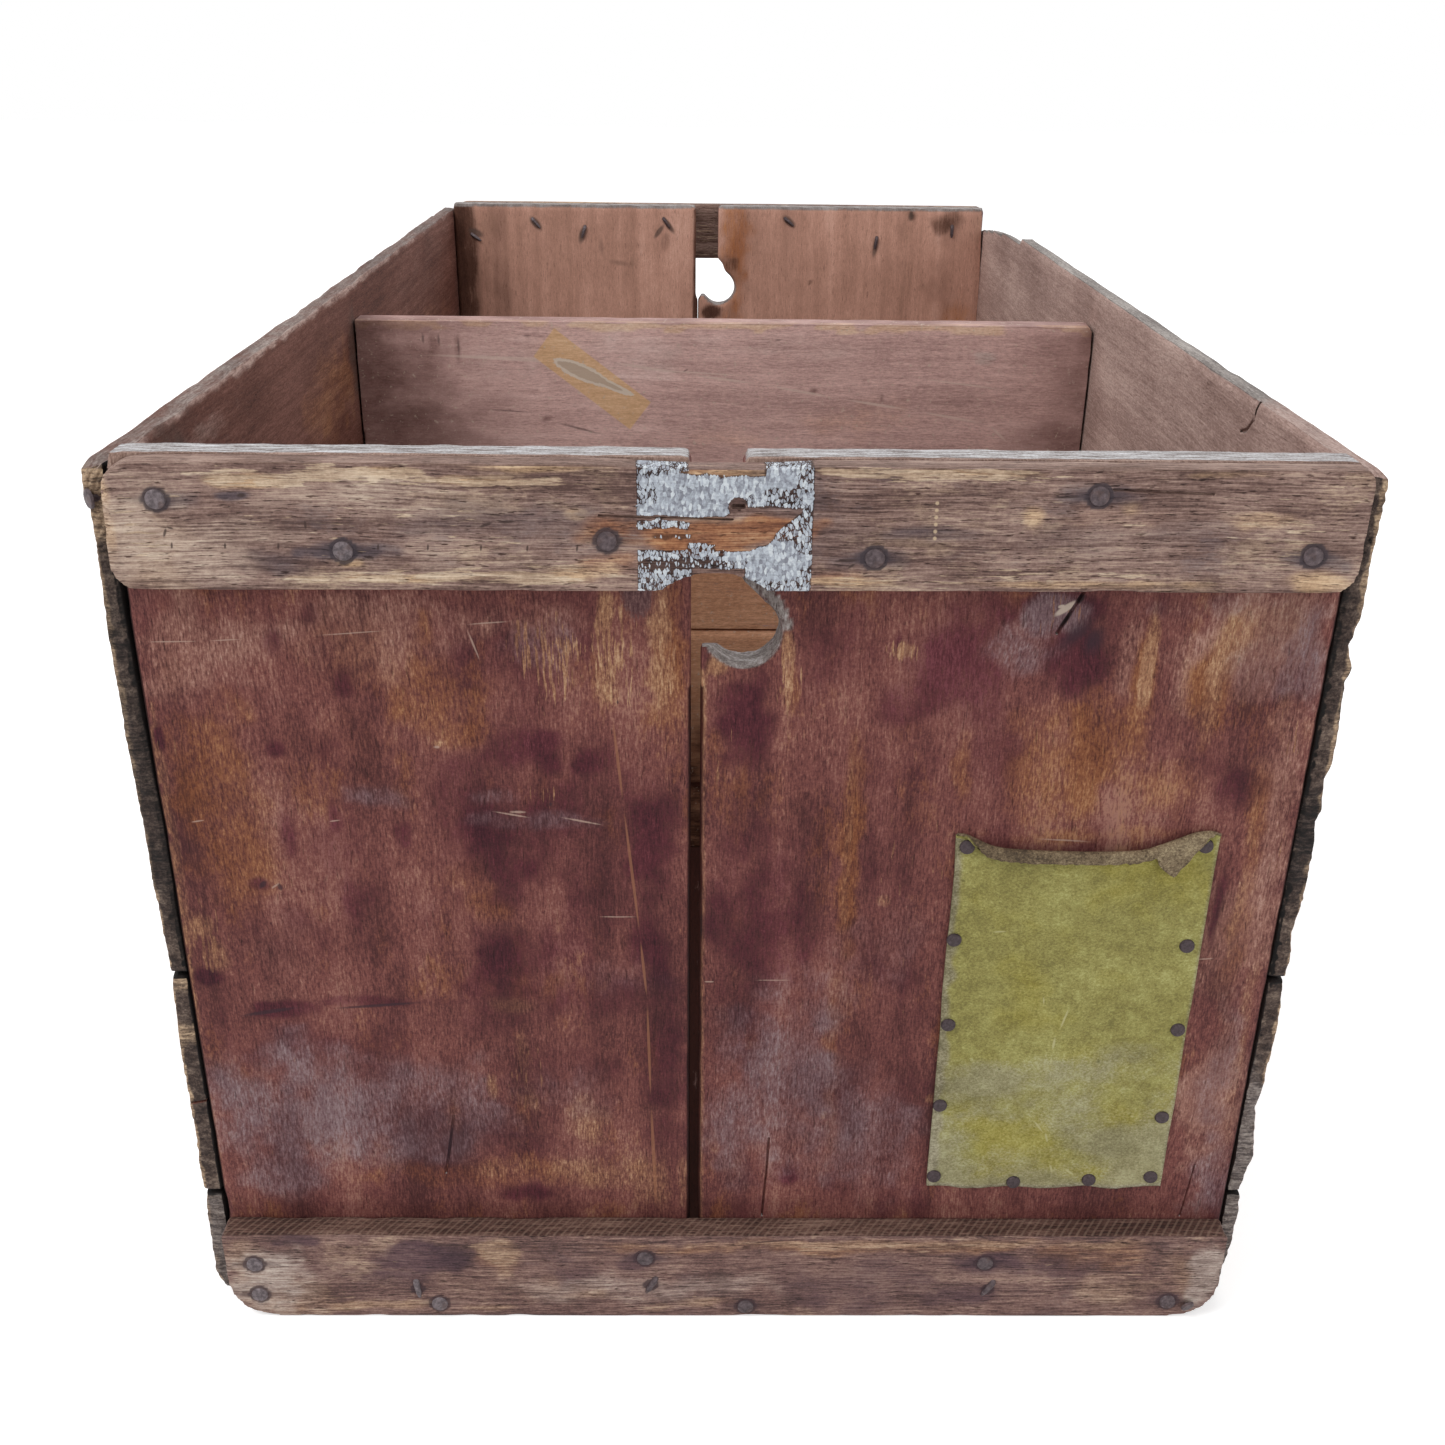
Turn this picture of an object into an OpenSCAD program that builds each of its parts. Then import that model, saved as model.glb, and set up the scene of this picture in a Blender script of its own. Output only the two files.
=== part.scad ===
// Old farmhouse crate: two boarded ends with finger holes, battens across them,
// long side walls, a middle partition and a plank bottom, all nailed together.
// Millimetres. X is the width, Y the length, Z up. The front end faces -Y.
// The origin is on the ground, under the middle of the crate.

/* [Overall] */
// Width inside, from one side wall to the other
inner_w = 381; // [300:1:480]
// Length of the side walls, over the outer faces of the end boards
side_l = 703; // [560:1:900]
// Height of the end boards' tops above the ground
end_h = 338; // [290:1:420]
// Depth of the side walls' tops below the tops of the ends
side_drop = 3.5; // [0:0.5:12]

/* [Board thickness] */
// Thickness of the end boards
end_t = 12.7; // [10:0.1:19]
// Thickness of the side boards
side_t = 8.3; // [6:0.1:14]
// Thickness of the bottom planks
bottom_t = 9.5; // [8:0.1:14]
// Thickness of the partition boards
part_t = 16; // [11:0.1:22]
// Thickness of the battens across the ends
batten_t = 9.5; // [7:0.1:16]

/* [Side walls] */
// Width of the lowest side board
side_low_w = 52; // [36:1:70]
// Width of the middle side board
side_mid_w = 98; // [70:1:120]
// Rounding of the worn upper corners of a side wall
side_top_r = 6; // [1:0.5:12]
// Rounding of the worn lower corners of a side wall
side_low_r = 9; // [1:0.5:16]
// Length of the piece broken off the right wall's top at the back
chip_l = 150; // [60:1:220]
// Depth of that break at its front end
chip_step = 4.5; // [2:0.5:8]
// Depth of that break at the back end of the wall
chip_deep = 13; // [6:0.5:24]

/* [Ends] */
// Place of the front seam, left board's edge, from the middle of the width
front_seam_x = -14.3; // [-40:0.1:20]
// Place of the back seam, left board's edge, from the middle of the width
back_seam_x = -16.8; // [-40:0.1:20]
// Gap between the two boards of an end
seam_gap = 3; // [1:0.1:6]
// Rounding of the worn board corners beside the slot
slot_corner_r = 3; // [1:0.5:6]
// Width lost at the top of the back right board, beside the side wall
back_shrink = 2.5; // [0.5:0.1:5]
// Rounding of that board's outer top corner
back_corner_r = 7; // [2:0.5:14]

/* [Finger holes] */
// Diameter of the bored hole
hole_d = 23; // [18:0.5:28]
// Depth of the hole's centre below the top of the end
hole_drop = 56.5; // [50:0.5:80]
// Distance of the hole's centre from the left board's edge
hole_from_seam = 16.6; // [14:0.1:20]
// Width of the slot above the hole, where the wood is gone
slot_w = 15.8; // [12:0.1:22]
// Depth of the slot's lower end below the hole's centre
slot_below = 4; // [1:0.5:8]

/* [Battens] */
// Height of the upper battens
top_batten_h = 39.6; // [34:0.1:46]
// Height of the lower battens
low_batten_h = 41.3; // [36:0.1:60]
// Rounding of the upper battens' corners
top_batten_r = 8; // [2:0.5:14]
// Rounding of the lower battens' bottom corners
low_batten_r = 17; // [4:0.5:24]
// Width of the finger notch under the front upper batten
front_notch_w = 33; // [24:0.5:44]
// Height of that notch
front_notch_h = 6.2; // [3:0.1:9]
// Height of the finger notch under the back upper batten
back_notch_h = 3; // [1:0.1:9]
// Distance of a notch's middle from the left board's edge
notch_from_seam = 7.2; // [4:0.1:14]
// Depth of the hollow worn into the front batten's top by hands
grip_wear = 1.2; // [0.5:0.1:3]
// Length of that hollow
grip_wear_l = 64; // [40:1:90]

/* [Partition] */
// Depth of the partition's top below the tops of the ends
part_drop = 21; // [6:1:60]
// Height of the joint between its two boards above the ground
part_joint = 148.5; // [90:0.5:200]
// Distance of the partition's middle plane from the middle of the length
part_offset = -1; // [-60:1:60]

/* [Bottom] */
// Gap between neighbouring planks
plank_gap = 1.6; // [0.5:0.1:5]

/* [Nails] */
// Diameter of a nail's head
nail_head_d = 6.4; // [5:0.1:8]
// Thickness of a nail's head
nail_head_t = 0.9; // [0.5:0.1:1.5]
// Diameter of a nail's shank
nail_d = 2.5; // [2:0.1:3.2]
// Length of a nail that isn't bent over
nail_l = 34; // [26:1:44]
// Length of the bent-over tip of a clinched nail
clinch_l = 6.5; // [4:0.5:10]
// Clearance round a shank in its hole
nail_fit = 0.05; // [0.02:0.01:0.15]

/* [Card pocket] */
// Width of the pocket
pocket_w = 89; // [70:1:100]
// Height of the pocket at its corners
pocket_h = 151; // [110:1:170]
// Thickness of its oilcloth
pocket_t = 1.1; // [0.8:0.1:1.6]
// Distance of its right edge from the side wall's inner face
pocket_side = 26; // [10:1:40]
// Height of its lower edge above the lower batten
pocket_up = 16.5; // [8:0.5:40]
// How far its mouth stands off the board
pocket_bulge = 4; // [1:0.5:5]
// How far its mouth sags between the corners
pocket_sag = 7; // [2:0.5:14]
// Radius of the fold at its mouth
hem_r = 1.5; // [1.2:0.1:2]
// Length of the cloth folded over at the mouth
hem_l = 3.6; // [2:0.1:8]
// Length of the torn, hanging flap of that fold
flap_l = 13; // [6:0.5:20]
// Diameter of a tack's head
tack_head_d = 5.4; // [4:0.1:7]
// Thickness of a tack's head
tack_head_t = 0.8; // [0.5:0.1:1.4]
// Diameter of a tack's shank
tack_d = 1.6; // [1.2:0.1:2]
// Depth of a tack's point below the board's face
tack_l = 8; // [6:0.5:9.5]

/* [Hidden] */
$fn = 48;

half_w = inner_w / 2;
half_l = side_l / 2;
side_h = end_h - side_drop;
part_h = end_h - part_drop;
side_seams = [0, side_low_w, side_low_w + side_mid_w, side_h];
part_y = part_offset;
cut = 1;

END_BROWN = "#6d4238";
BATTEN_TAN = "#9a7c5c";
SIDE_BROWN = "#7a5f50";
PART_BROWN = "#7d625a";
PLANK_BROWN = "#7b6047";
IRON = "#4b4546";
CLOTH_GREEN = "#93913f";

// Nails through the upper battens: place along the half width, and height above
// the batten's lower edge as a share of its height.
FRONT_TOP_NAILS = [
    [-0.91, 0.69], [-0.63, 0.29], [-0.21, 0.39], [0.22, 0.27], [0.57, 0.78], [0.92, 0.31]
];
BACK_TOP_NAILS = [
    [-0.92, 0.28], [-0.68, 0.71], [-0.51, 0.57], [-0.22, 0.66], [0.29, 0.76], [0.5, 0.42], [0.88, 0.7]
];
// Nails through the lower battens into the end boards, placed the same way.
LOW_NAILS = [[-0.94, 0.64], [-0.16, 0.71], [0.52, 0.66], [-0.94, 0.29]];
// Nails through the lower battens into the ends of the planks: place along the half width.
PLANK_END_NAILS = [-0.58, 0.04, 0.9];
// Nails driven from inside and bent over on the lower battens.
INSIDE_NAILS = [[-0.62, 0.4], [-0.15, 0.4], [0.53, 0.4]];
// Direction in which a bent tip points, in degrees: upper battens, then lower ones.
TOP_TURNS = [200, 340, 250, 285, 235, 300, 215];
LOW_TURNS = [200, 340, 250, 60];
INSIDE_TURN = 50;

// Heights of the nails in a side wall, as shares of each of its three boards.
SIDE_NAIL_SHARES = [[0.5], [0.22, 0.78], [0.14, 0.54, 0.92]];
side_nail_z = [for (b = [0 : 2], s = SIDE_NAIL_SHARES[b])
    side_seams[b] + s * (side_seams[b + 1] - side_seams[b])];
part_nail_z = [for (z = side_nail_z) if (z > bottom_t + nail_d && z < part_h - 2 * nail_d
    && abs(z - part_joint) > nail_d) z];
end_nail_y = half_l - end_t / 2;
// Nails from the side walls into the edges of the outer planks.
PLANK_SIDE_SHARES = [-0.75, -0.4, 0.33, 0.72];
plank_nail_z = bottom_t / 2;

// Number of planks in the bottom.
planks = 3;
plank_w = (inner_w - (planks - 1) * plank_gap) / planks;
function plank_x(i) = -half_w + plank_w / 2 + i * (plank_w + plank_gap);
// Places of the nails across a plank, as shares of its half width.
PLANK_NAIL_SHARES = [-0.55, 0.55];

// 2D helpers: a corner to cut away, and a board outline with its own four roundings
// in the order bottom left, bottom right, top right, top left.
module corner(r) {
    if (r > 0) difference() {
        translate([-cut, -cut]) square(r + cut);
        translate([r, r]) circle(r);
    }
}

module board_outline(w, h, r) {
    difference() {
        square([w, h]);
        corner(r[0]);
        translate([w, 0]) mirror([1, 0]) corner(r[1]);
        translate([w, h]) rotate(180) corner(r[2]);
        translate([0, h]) mirror([0, 1]) corner(r[3]);
    }
}

// A shape drawn in X and Z, given a thickness from y back to y + t.
module upright(y, t) {
    translate([0, y + t, 0]) rotate([90, 0, 0]) linear_extrude(t) children();
}

// A shape drawn in Y and Z, given a thickness from x to x + t.
module along_side(x, t) {
    translate([x, 0, 0]) rotate([90, 0, 90]) linear_extrude(t) children();
}

// The front end is drawn once; the back end is its mirror image.
module at_end(back) {
    if (back) mirror([0, 1, 0]) children();
    else children();
}

// One nail along +Y with the underside of its head at y = 0. A clinched nail runs
// through grip and turns flat against the far face; a straight one ends in a point.
module nail(grip, turn) {
    clinched = grip > 0;
    bend_r = 0.6 * nail_d;
    rotate([90, 0, 0]) cylinder(h = nail_head_t, d1 = nail_head_d, d2 = 0.86 * nail_head_d);
    if (clinched) {
        rotate([-90, 0, 0]) cylinder(h = grip, d = nail_d);
        translate([0, grip, 0]) rotate([0, -turn, 0]) {
            translate([bend_r, 0, 0]) rotate([0, 0, 90]) rotate_extrude(angle = 90)
                translate([bend_r, 0]) circle(d = nail_d);
            translate([bend_r, bend_r, 0]) rotate([0, 90, 0])
                cylinder(h = clinch_l, d1 = nail_d, d2 = 0.5 * nail_d);
        }
    } else {
        rotate([-90, 0, 0]) cylinder(h = nail_l - 2 * nail_d, d = nail_d);
        translate([0, nail_l - 2 * nail_d, 0]) rotate([-90, 0, 0])
            cylinder(h = 2 * nail_d, d1 = nail_d, d2 = 0.3 * nail_d);
    }
}

// The hole for a nail, from before y = 0 to depth.
module nail_hole(depth) {
    translate([0, -cut, 0]) rotate([-90, 0, 0]) cylinder(h = depth + cut, d = nail_d + 2 * nail_fit);
}

// Places of the nails, as [x, z], from the lists above.
top_batten_z = end_h - top_batten_h;
function top_places(list) = [for (p = list) [p[0] * half_w, top_batten_z + p[1] * top_batten_h]];
function low_places(list) = [for (p = list) [p[0] * half_w, p[1] * low_batten_h]];
front_top_places = top_places(FRONT_TOP_NAILS);
back_top_places = top_places(BACK_TOP_NAILS);
low_nail_places = low_places(LOW_NAILS);
inside_places = low_places(INSIDE_NAILS);
plank_end_places = [for (s = PLANK_END_NAILS) [s * half_w, plank_nail_z]];
end_grip = batten_t + end_t;

module holes_at(places, depth) {
    for (p = places) translate([p[0], -half_l - batten_t, p[1]]) nail_hole(depth);
}

// Every nail hole that crosses one end, front or back.
module end_holes(back) {
    at_end(back) {
        holes_at(back ? back_top_places : front_top_places, end_grip + cut);
        holes_at(concat(low_nail_places, inside_places), end_grip + cut);
    }
    side_nail_holes();
}

// Holes for the nails that come through both side walls.
module side_nail_holes() {
    for (s = [-1, 1]) {
        for (y = [-end_nail_y, end_nail_y], z = side_nail_z) side_hole(s, y, z);
        for (z = part_nail_z) side_hole(s, part_y, z);
        for (f = PLANK_SIDE_SHARES) side_hole(s, f * half_l, plank_nail_z);
    }
}

module side_hole(s, y, z) {
    translate([s * (half_w + side_t), y, z]) rotate([0, 0, s * 90]) nail_hole(nail_l + nail_fit);
}

// Holes for the nails driven up through the planks, with a recess for each head.
module bottom_nail_places() {
    for (i = [0 : planks - 1], f = PLANK_NAIL_SHARES, y = [-end_nail_y, part_y, end_nail_y])
        translate([plank_x(i) + f * plank_w / 2, y, 0]) children();
}

module bottom_holes() {
    bottom_nail_places() {
        translate([0, 0, nail_head_t]) rotate([90, 0, 0]) nail_hole(nail_l + nail_fit);
        translate([0, 0, -cut]) cylinder(h = nail_head_t + cut, d = nail_head_d + 2 * nail_fit);
    }
}

// Ends

module end_left_board(back) {
    seam_x = back ? back_seam_x : front_seam_x;
    difference() {
        at_end(back) upright(-half_l, end_t) translate([-half_w, bottom_t])
            board_outline(seam_x + half_w, end_h - bottom_t, [0, 0, slot_corner_r, 0]);
        end_holes(back);
        bottom_holes();
    }
}

// The right board carries the bored hole, open to the seam, and the slot above it.
module end_right_outline(seam_x, corner_r, shrink) {
    left = seam_x + seam_gap;
    w = half_w - left;
    hole_z = end_h - hole_drop;
    slot_x = seam_x + slot_w;
    difference() {
        translate([left, bottom_t]) difference() {
            board_outline(w, end_h - bottom_t, [0, 0, corner_r, 0]);
            polygon([[w, (end_h - bottom_t) / 3], [w - shrink, end_h - bottom_t + cut],
                [w + cut, end_h - bottom_t + cut]]);
        }
        translate([seam_x + hole_from_seam, hole_z]) circle(d = hole_d);
        translate([left - cut, hole_z - slot_below])
            square([slot_x - left + cut, hole_drop + slot_below + cut]);
        translate([slot_x, end_h]) mirror([0, 1]) corner(slot_corner_r);
    }
}

module end_right_board(back) {
    difference() {
        at_end(back) upright(-half_l, end_t)
            end_right_outline(back ? back_seam_x : front_seam_x, back ? back_corner_r : 0,
                back ? back_shrink : 0);
        end_holes(back);
        bottom_holes();
        if (!back) tack_places() tack_hole();
    }
}

module top_batten(back) {
    seam_x = back ? back_seam_x : front_seam_x;
    notch_h = back ? back_notch_h : front_notch_h;
    notch_r = (front_notch_w * front_notch_w / 4 + notch_h * notch_h) / (2 * notch_h);
    wear_r = (grip_wear_l * grip_wear_l / 4 + grip_wear * grip_wear) / (2 * grip_wear);
    r = top_batten_r;
    difference() {
        at_end(back) upright(-half_l - batten_t, batten_t) difference() {
            translate([-half_w, top_batten_z]) board_outline(inner_w, top_batten_h, [r, r, r, r]);
            translate([seam_x + notch_from_seam, top_batten_z + notch_h - notch_r]) circle(notch_r);
            if (!back) translate([seam_x + notch_from_seam, end_h - grip_wear + wear_r])
                circle(wear_r, $fn = 180);
        }
        end_holes(back);
    }
}

module low_batten(back) {
    r = low_batten_r;
    difference() {
        at_end(back) upright(-half_l - batten_t, batten_t)
            translate([-half_w, 0]) board_outline(inner_w, low_batten_h, [r, r, 2, 2]);
        end_holes(back);
        at_end(back) holes_at(plank_end_places, nail_l + nail_fit);
    }
}

// Side walls

module side_outline(b) {
    top = b == 2 ? side_top_r : 0;
    low = b == 0 ? side_low_r : 0;
    translate([-half_l, side_seams[b]])
        board_outline(side_l, side_seams[b + 1] - side_seams[b], [low, low, top, top]);
}

// The broken top edge at the back of the right wall.
module chip_outline() {
    polygon([[half_l - chip_l, side_h + cut], [half_l - chip_l, side_h - chip_step],
        [half_l - 0.4 * chip_l, side_h - (chip_step + chip_deep) / 2],
        [half_l + cut, side_h - chip_deep], [half_l + cut, side_h + cut]]);
}

module side_board(s, b) {
    difference() {
        along_side(s < 0 ? -half_w - side_t : half_w, side_t) difference() {
            side_outline(b);
            if (s > 0 && b == 2) chip_outline();
        }
        side_nail_holes();
    }
}

// Partition and bottom

module partition_board(z0, z1) {
    difference() {
        translate([-half_w, part_y - part_t / 2, z0]) cube([inner_w, part_t, z1 - z0]);
        side_nail_holes();
        bottom_holes();
    }
}

module bottom_plank(i) {
    difference() {
        translate([plank_x(i) - plank_w / 2, -half_l, 0]) cube([plank_w, side_l, bottom_t]);
        side_nail_holes();
        bottom_holes();
        for (back = [false, true]) at_end(back) holes_at(plank_end_places, nail_l + nail_fit);
    }
}

// Nails

module batten_nails(back, places, grip, turns) {
    at_end(back) for (i = [0 : len(places) - 1])
        translate([places[i][0], -half_l - batten_t, places[i][1]]) nail(grip, turns[i]);
}

// Driven outwards: the head is inside, the bent tip lies on the batten.
module inside_nails(back) {
    at_end(back) for (p = inside_places)
        translate([p[0], -half_l + end_t, p[1]]) rotate([0, 0, 180])
            nail(end_grip, 180 - INSIDE_TURN);
}

module top_batten_nails(back) {
    batten_nails(back, back ? back_top_places : front_top_places, end_grip, TOP_TURNS);
}

module low_batten_nails(back) {
    batten_nails(back, low_nail_places, end_grip, LOW_TURNS);
    batten_nails(back, plank_end_places, 0, [0, 0, 0]);
}

module side_nail(s, y, z) {
    translate([s * (half_w + side_t), y, z]) rotate([0, 0, s * 90]) nail(0, 0);
}

module side_nails(s) {
    for (y = [-end_nail_y, end_nail_y], z = side_nail_z) side_nail(s, y, z);
    for (z = part_nail_z) side_nail(s, part_y, z);
    for (f = PLANK_SIDE_SHARES) side_nail(s, f * half_l, plank_nail_z);
}

module bottom_nails() {
    bottom_nail_places() translate([0, 0, nail_head_t]) rotate([90, 0, 0]) nail(0, 0);
}

// Card pocket: one sheet of oilcloth, tacked flat along three edges. It swells towards
// its mouth, sags there between the corners and folds over outwards.

pocket_x = half_w - pocket_side - pocket_w;
pocket_z = low_batten_h + pocket_up;
tack_in = 4;
pocket_edge = 2 * tack_in;
POCKET_COLS = 20;
UP_ROWS = 12;
TURN_ROWS = 5;
TAIL_ROWS = 2;
POCKET_ROWS = UP_ROWS + TURN_ROWS + TAIL_ROWS;
FLAP_AT = 0.8;
FLAP_WIDE = 0.11;

function inside_share(d, size) = max(0, min(1, (d - pocket_edge) / (size - 2 * pocket_edge)));
function across(u) = sin(180 * inside_share(u * pocket_w, pocket_w));
function full(u) = min(1, 3 * across(u));
function swell(u, v) =
    pocket_bulge * across(u) * pow(inside_share(v * pocket_h, pocket_h + 2 * pocket_edge), 2);
function mouth_z(u) = pocket_h - pocket_sag * (1 - pow(abs(2 * u - 1), 4));
function flap(u) = max(0, 1 - pow((u - FLAP_AT) / FLAP_WIDE, 2));
function tail_l(u) = 0.2 + (hem_l - 0.2) * full(u) + (flap_l - hem_l) * flap(u);
function turn_end(u) = 20 + 160 * full(u);

// A point of the sheet's middle, as [standing off the board, height, slope of the path].
function sheet_point(u, j) =
    j <= UP_ROWS ? let (v = j / UP_ROWS) [swell(u, v), v * mouth_z(u), 0]
    : j <= UP_ROWS + TURN_ROWS ? let (a = turn_end(u) * (j - UP_ROWS) / TURN_ROWS)
        [swell(u, 1) + hem_r * (1 - cos(a)), mouth_z(u) + hem_r * sin(a), a]
    : let (a = turn_end(u), t = tail_l(u) * (j - UP_ROWS - TURN_ROWS) / TAIL_ROWS)
        [swell(u, 1) + hem_r * (1 - cos(a)) + t * sin(a),
            mouth_z(u) + hem_r * sin(a) + t * cos(a), a];

// The outer skin lies outside the middle, the inner skin on the board's side.
function skin_point(u, j, side) = let (p = sheet_point(u, j), half = side * pocket_t / 2)
    [u * pocket_w, -(pocket_t / 2 + p[0] + half * cos(p[2])), p[1] - half * sin(p[2])];

module pocket_sheet() {
    cols = POCKET_COLS;
    rows = POCKET_ROWS;
    per = rows + 1;
    skin = (cols + 1) * per;
    points = [for (side = [1, -1], i = [0 : cols], j = [0 : rows]) skin_point(i / cols, j, side)];
    faces = concat(
        [for (i = [0 : cols - 1], j = [0 : rows - 1]) let (a = i * per + j)
            each [[a, a + 1, a + per + 1], [a, a + per + 1, a + per]]],
        [for (i = [0 : cols - 1], j = [0 : rows - 1]) let (a = skin + i * per + j)
            each [[a, a + per + 1, a + 1], [a, a + per, a + per + 1]]],
        [for (i = [0 : cols - 1]) let (a = i * per, b = a + per, c = skin + a, d = skin + b)
            each [[a, b, d], [a, d, c]]],
        [for (i = [0 : cols - 1]) let (a = i * per + rows, b = a + per, c = skin + a, d = skin + b)
            each [[a, d, b], [a, c, d]]],
        [for (j = [0 : rows - 1]) let (a = j, b = j + 1, c = skin + a, d = skin + b)
            each [[a, d, b], [a, c, d]]],
        [for (j = [0 : rows - 1]) let (a = cols * per + j, b = a + 1, c = skin + a, d = skin + b)
            each [[a, b, d], [a, d, c]]]
    );
    polyhedron(points, faces);
}

// Tacks up both edges and along the bottom, as shares of the pocket's height and width.
EDGE_TACKS = [0, 0.24, 0.5, 0.75, 1];
BOTTOM_TACKS = [0.34, 0.66];
tack_span_w = pocket_w - 2 * tack_in;
tack_span_h = pocket_h - 2 * tack_in;
tack_spots = concat(
    [for (s = EDGE_TACKS, x = [0, 1]) [x, s]],
    [for (s = BOTTOM_TACKS) [s, 0]]
);

module tack_places() {
    for (p = tack_spots)
        translate([pocket_x + tack_in + p[0] * tack_span_w, -half_l,
            pocket_z + tack_in + p[1] * tack_span_h]) children();
}

module tack() {
    translate([0, -pocket_t, 0]) rotate([90, 0, 0])
        cylinder(h = tack_head_t, d1 = tack_head_d, d2 = 0.6 * tack_head_d);
    translate([0, -pocket_t, 0]) rotate([-90, 0, 0])
        cylinder(h = tack_l + pocket_t, d1 = tack_d, d2 = 0.3 * tack_d);
}

module tack_hole() {
    translate([0, -pocket_t - cut, 0]) rotate([-90, 0, 0])
        cylinder(h = tack_l + pocket_t + cut + nail_fit, d = tack_d + 2 * nail_fit);
}

module card_pocket() {
    difference() {
        translate([pocket_x, -half_l, pocket_z]) pocket_sheet();
        tack_places() tack_hole();
    }
}

module pocket_tacks() {
    tack_places() tack();
}

color(END_BROWN) end_left_board(false);  // front_left_board
color(END_BROWN) end_right_board(false);  // front_right_board
color(BATTEN_TAN) top_batten(false);  // front_top_batten
color(BATTEN_TAN) low_batten(false);  // front_low_batten
color(END_BROWN) end_left_board(true);  // back_left_board
color(END_BROWN) end_right_board(true);  // back_right_board
color(BATTEN_TAN) top_batten(true);  // back_top_batten
color(BATTEN_TAN) low_batten(true);  // back_low_batten
color(SIDE_BROWN) side_board(-1, 0);  // left_side_low_board
color(SIDE_BROWN) side_board(-1, 1);  // left_side_middle_board
color(SIDE_BROWN) side_board(-1, 2);  // left_side_top_board
color(SIDE_BROWN) side_board(1, 0);  // right_side_low_board
color(SIDE_BROWN) side_board(1, 1);  // right_side_middle_board
color(SIDE_BROWN) side_board(1, 2);  // right_side_top_board
color(PART_BROWN) partition_board(bottom_t, part_joint);  // partition_low_board
color(PART_BROWN) partition_board(part_joint, part_h);  // partition_top_board
color(PLANK_BROWN) bottom_plank(0);  // bottom_left_plank
color(PLANK_BROWN) bottom_plank(1);  // bottom_middle_plank
color(PLANK_BROWN) bottom_plank(2);  // bottom_right_plank
color(IRON) top_batten_nails(false);  // front_top_batten_nails
color(IRON) low_batten_nails(false);  // front_low_batten_nails
color(IRON) inside_nails(false);  // front_inside_nails
color(IRON) top_batten_nails(true);  // back_top_batten_nails
color(IRON) low_batten_nails(true);  // back_low_batten_nails
color(IRON) inside_nails(true);  // back_inside_nails
color(IRON) side_nails(-1);  // left_side_nails
color(IRON) side_nails(1);  // right_side_nails
color(IRON) bottom_nails();
color(CLOTH_GREEN) card_pocket();
color(IRON) pocket_tacks();
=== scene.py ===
# Old farmhouse crate: worn boards and battens, nails, tacks and a card pocket of oilcloth.
# Places are in millimetres until a mesh is made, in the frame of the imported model.

import math

import bpy
import numpy as np
from mathutils import Matrix, Vector


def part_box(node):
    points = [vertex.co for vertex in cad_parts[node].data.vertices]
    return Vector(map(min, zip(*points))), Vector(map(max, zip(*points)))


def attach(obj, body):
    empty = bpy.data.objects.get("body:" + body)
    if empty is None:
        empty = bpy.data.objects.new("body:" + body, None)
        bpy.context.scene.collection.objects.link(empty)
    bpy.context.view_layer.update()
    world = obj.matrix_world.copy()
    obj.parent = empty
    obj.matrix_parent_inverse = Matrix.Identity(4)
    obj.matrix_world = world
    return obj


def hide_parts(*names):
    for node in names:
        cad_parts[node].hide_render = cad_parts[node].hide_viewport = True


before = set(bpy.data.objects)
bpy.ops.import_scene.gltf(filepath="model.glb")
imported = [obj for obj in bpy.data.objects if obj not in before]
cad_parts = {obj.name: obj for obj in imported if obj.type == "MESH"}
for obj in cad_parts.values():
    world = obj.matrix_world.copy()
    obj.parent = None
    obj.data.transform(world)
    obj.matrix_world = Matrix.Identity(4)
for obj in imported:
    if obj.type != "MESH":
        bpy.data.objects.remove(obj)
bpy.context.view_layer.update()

MM = 0.001
HALF_W = 190.5
HALF_L = 351.5
END_T = 12.7
BATTEN_T = 9.5
SIDE_T = 8.3
PART_FRONT = -9.0
END_H = 338.0
SIDE_H = 334.5
BATTEN_Z = 298.4
LOW_BATTEN_H = 41.3
PLANK_T = 9.5
PLANK_W = 125.93
PLANK_STEP = 127.53
SEAMS = {"front": -14.3, "back": -16.8}
HOLE_R = 11.5
HOLE_Z = 281.5
HOLE_FROM_SEAM = 16.6
SLOT_W = 15.8
SLOT_Z = 277.5
CHANNELS = ("bare", "warm", "tan", "stain_and_shade", "dusty", "grey", "dirt_and_shade", "flake", "rubbed", "flow",
            "paint", "halo")
COARSE = 1.0
FRONT = (0, -1, 0)
BACK = (0, 1, 0)


# Making and shaping pieces


def only(*pieces):
    """Selects these pieces alone; the first is the active one."""
    bpy.ops.object.select_all(action="DESELECT")
    for piece in pieces:
        piece.select_set(True)
    bpy.context.view_layer.objects.active = pieces[0]


def settle(name):
    """Names the piece just added, and puts its place, turn and size into its mesh."""
    piece = bpy.context.object
    piece.name = piece.data.name = name
    only(piece)
    bpy.ops.object.transform_apply(location=True, rotation=True, scale=True)
    return piece


def block(name, low, high, turn=(0, 0, 0)):
    """A squared piece of wood between two corners."""
    low, high = np.array(low, float), np.array(high, float)
    bpy.ops.mesh.primitive_cube_add(
        size=1, location=(low + high) / 2 * MM, scale=(high - low) * MM, rotation=turn
    )
    return settle(name)


def rod(name, radius, depth, place, radius_2=None, sides=72):
    """A round tool lying along Y, centred at place; radius_2 is its radius at the far end."""
    bpy.ops.mesh.primitive_cone_add(
        vertices=sides, radius1=radius * MM, depth=depth * MM, location=Vector(place) * MM,
        radius2=(radius if radius_2 is None else radius_2) * MM, rotation=(-math.pi / 2, 0, 0),
    )
    return settle(name)


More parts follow.
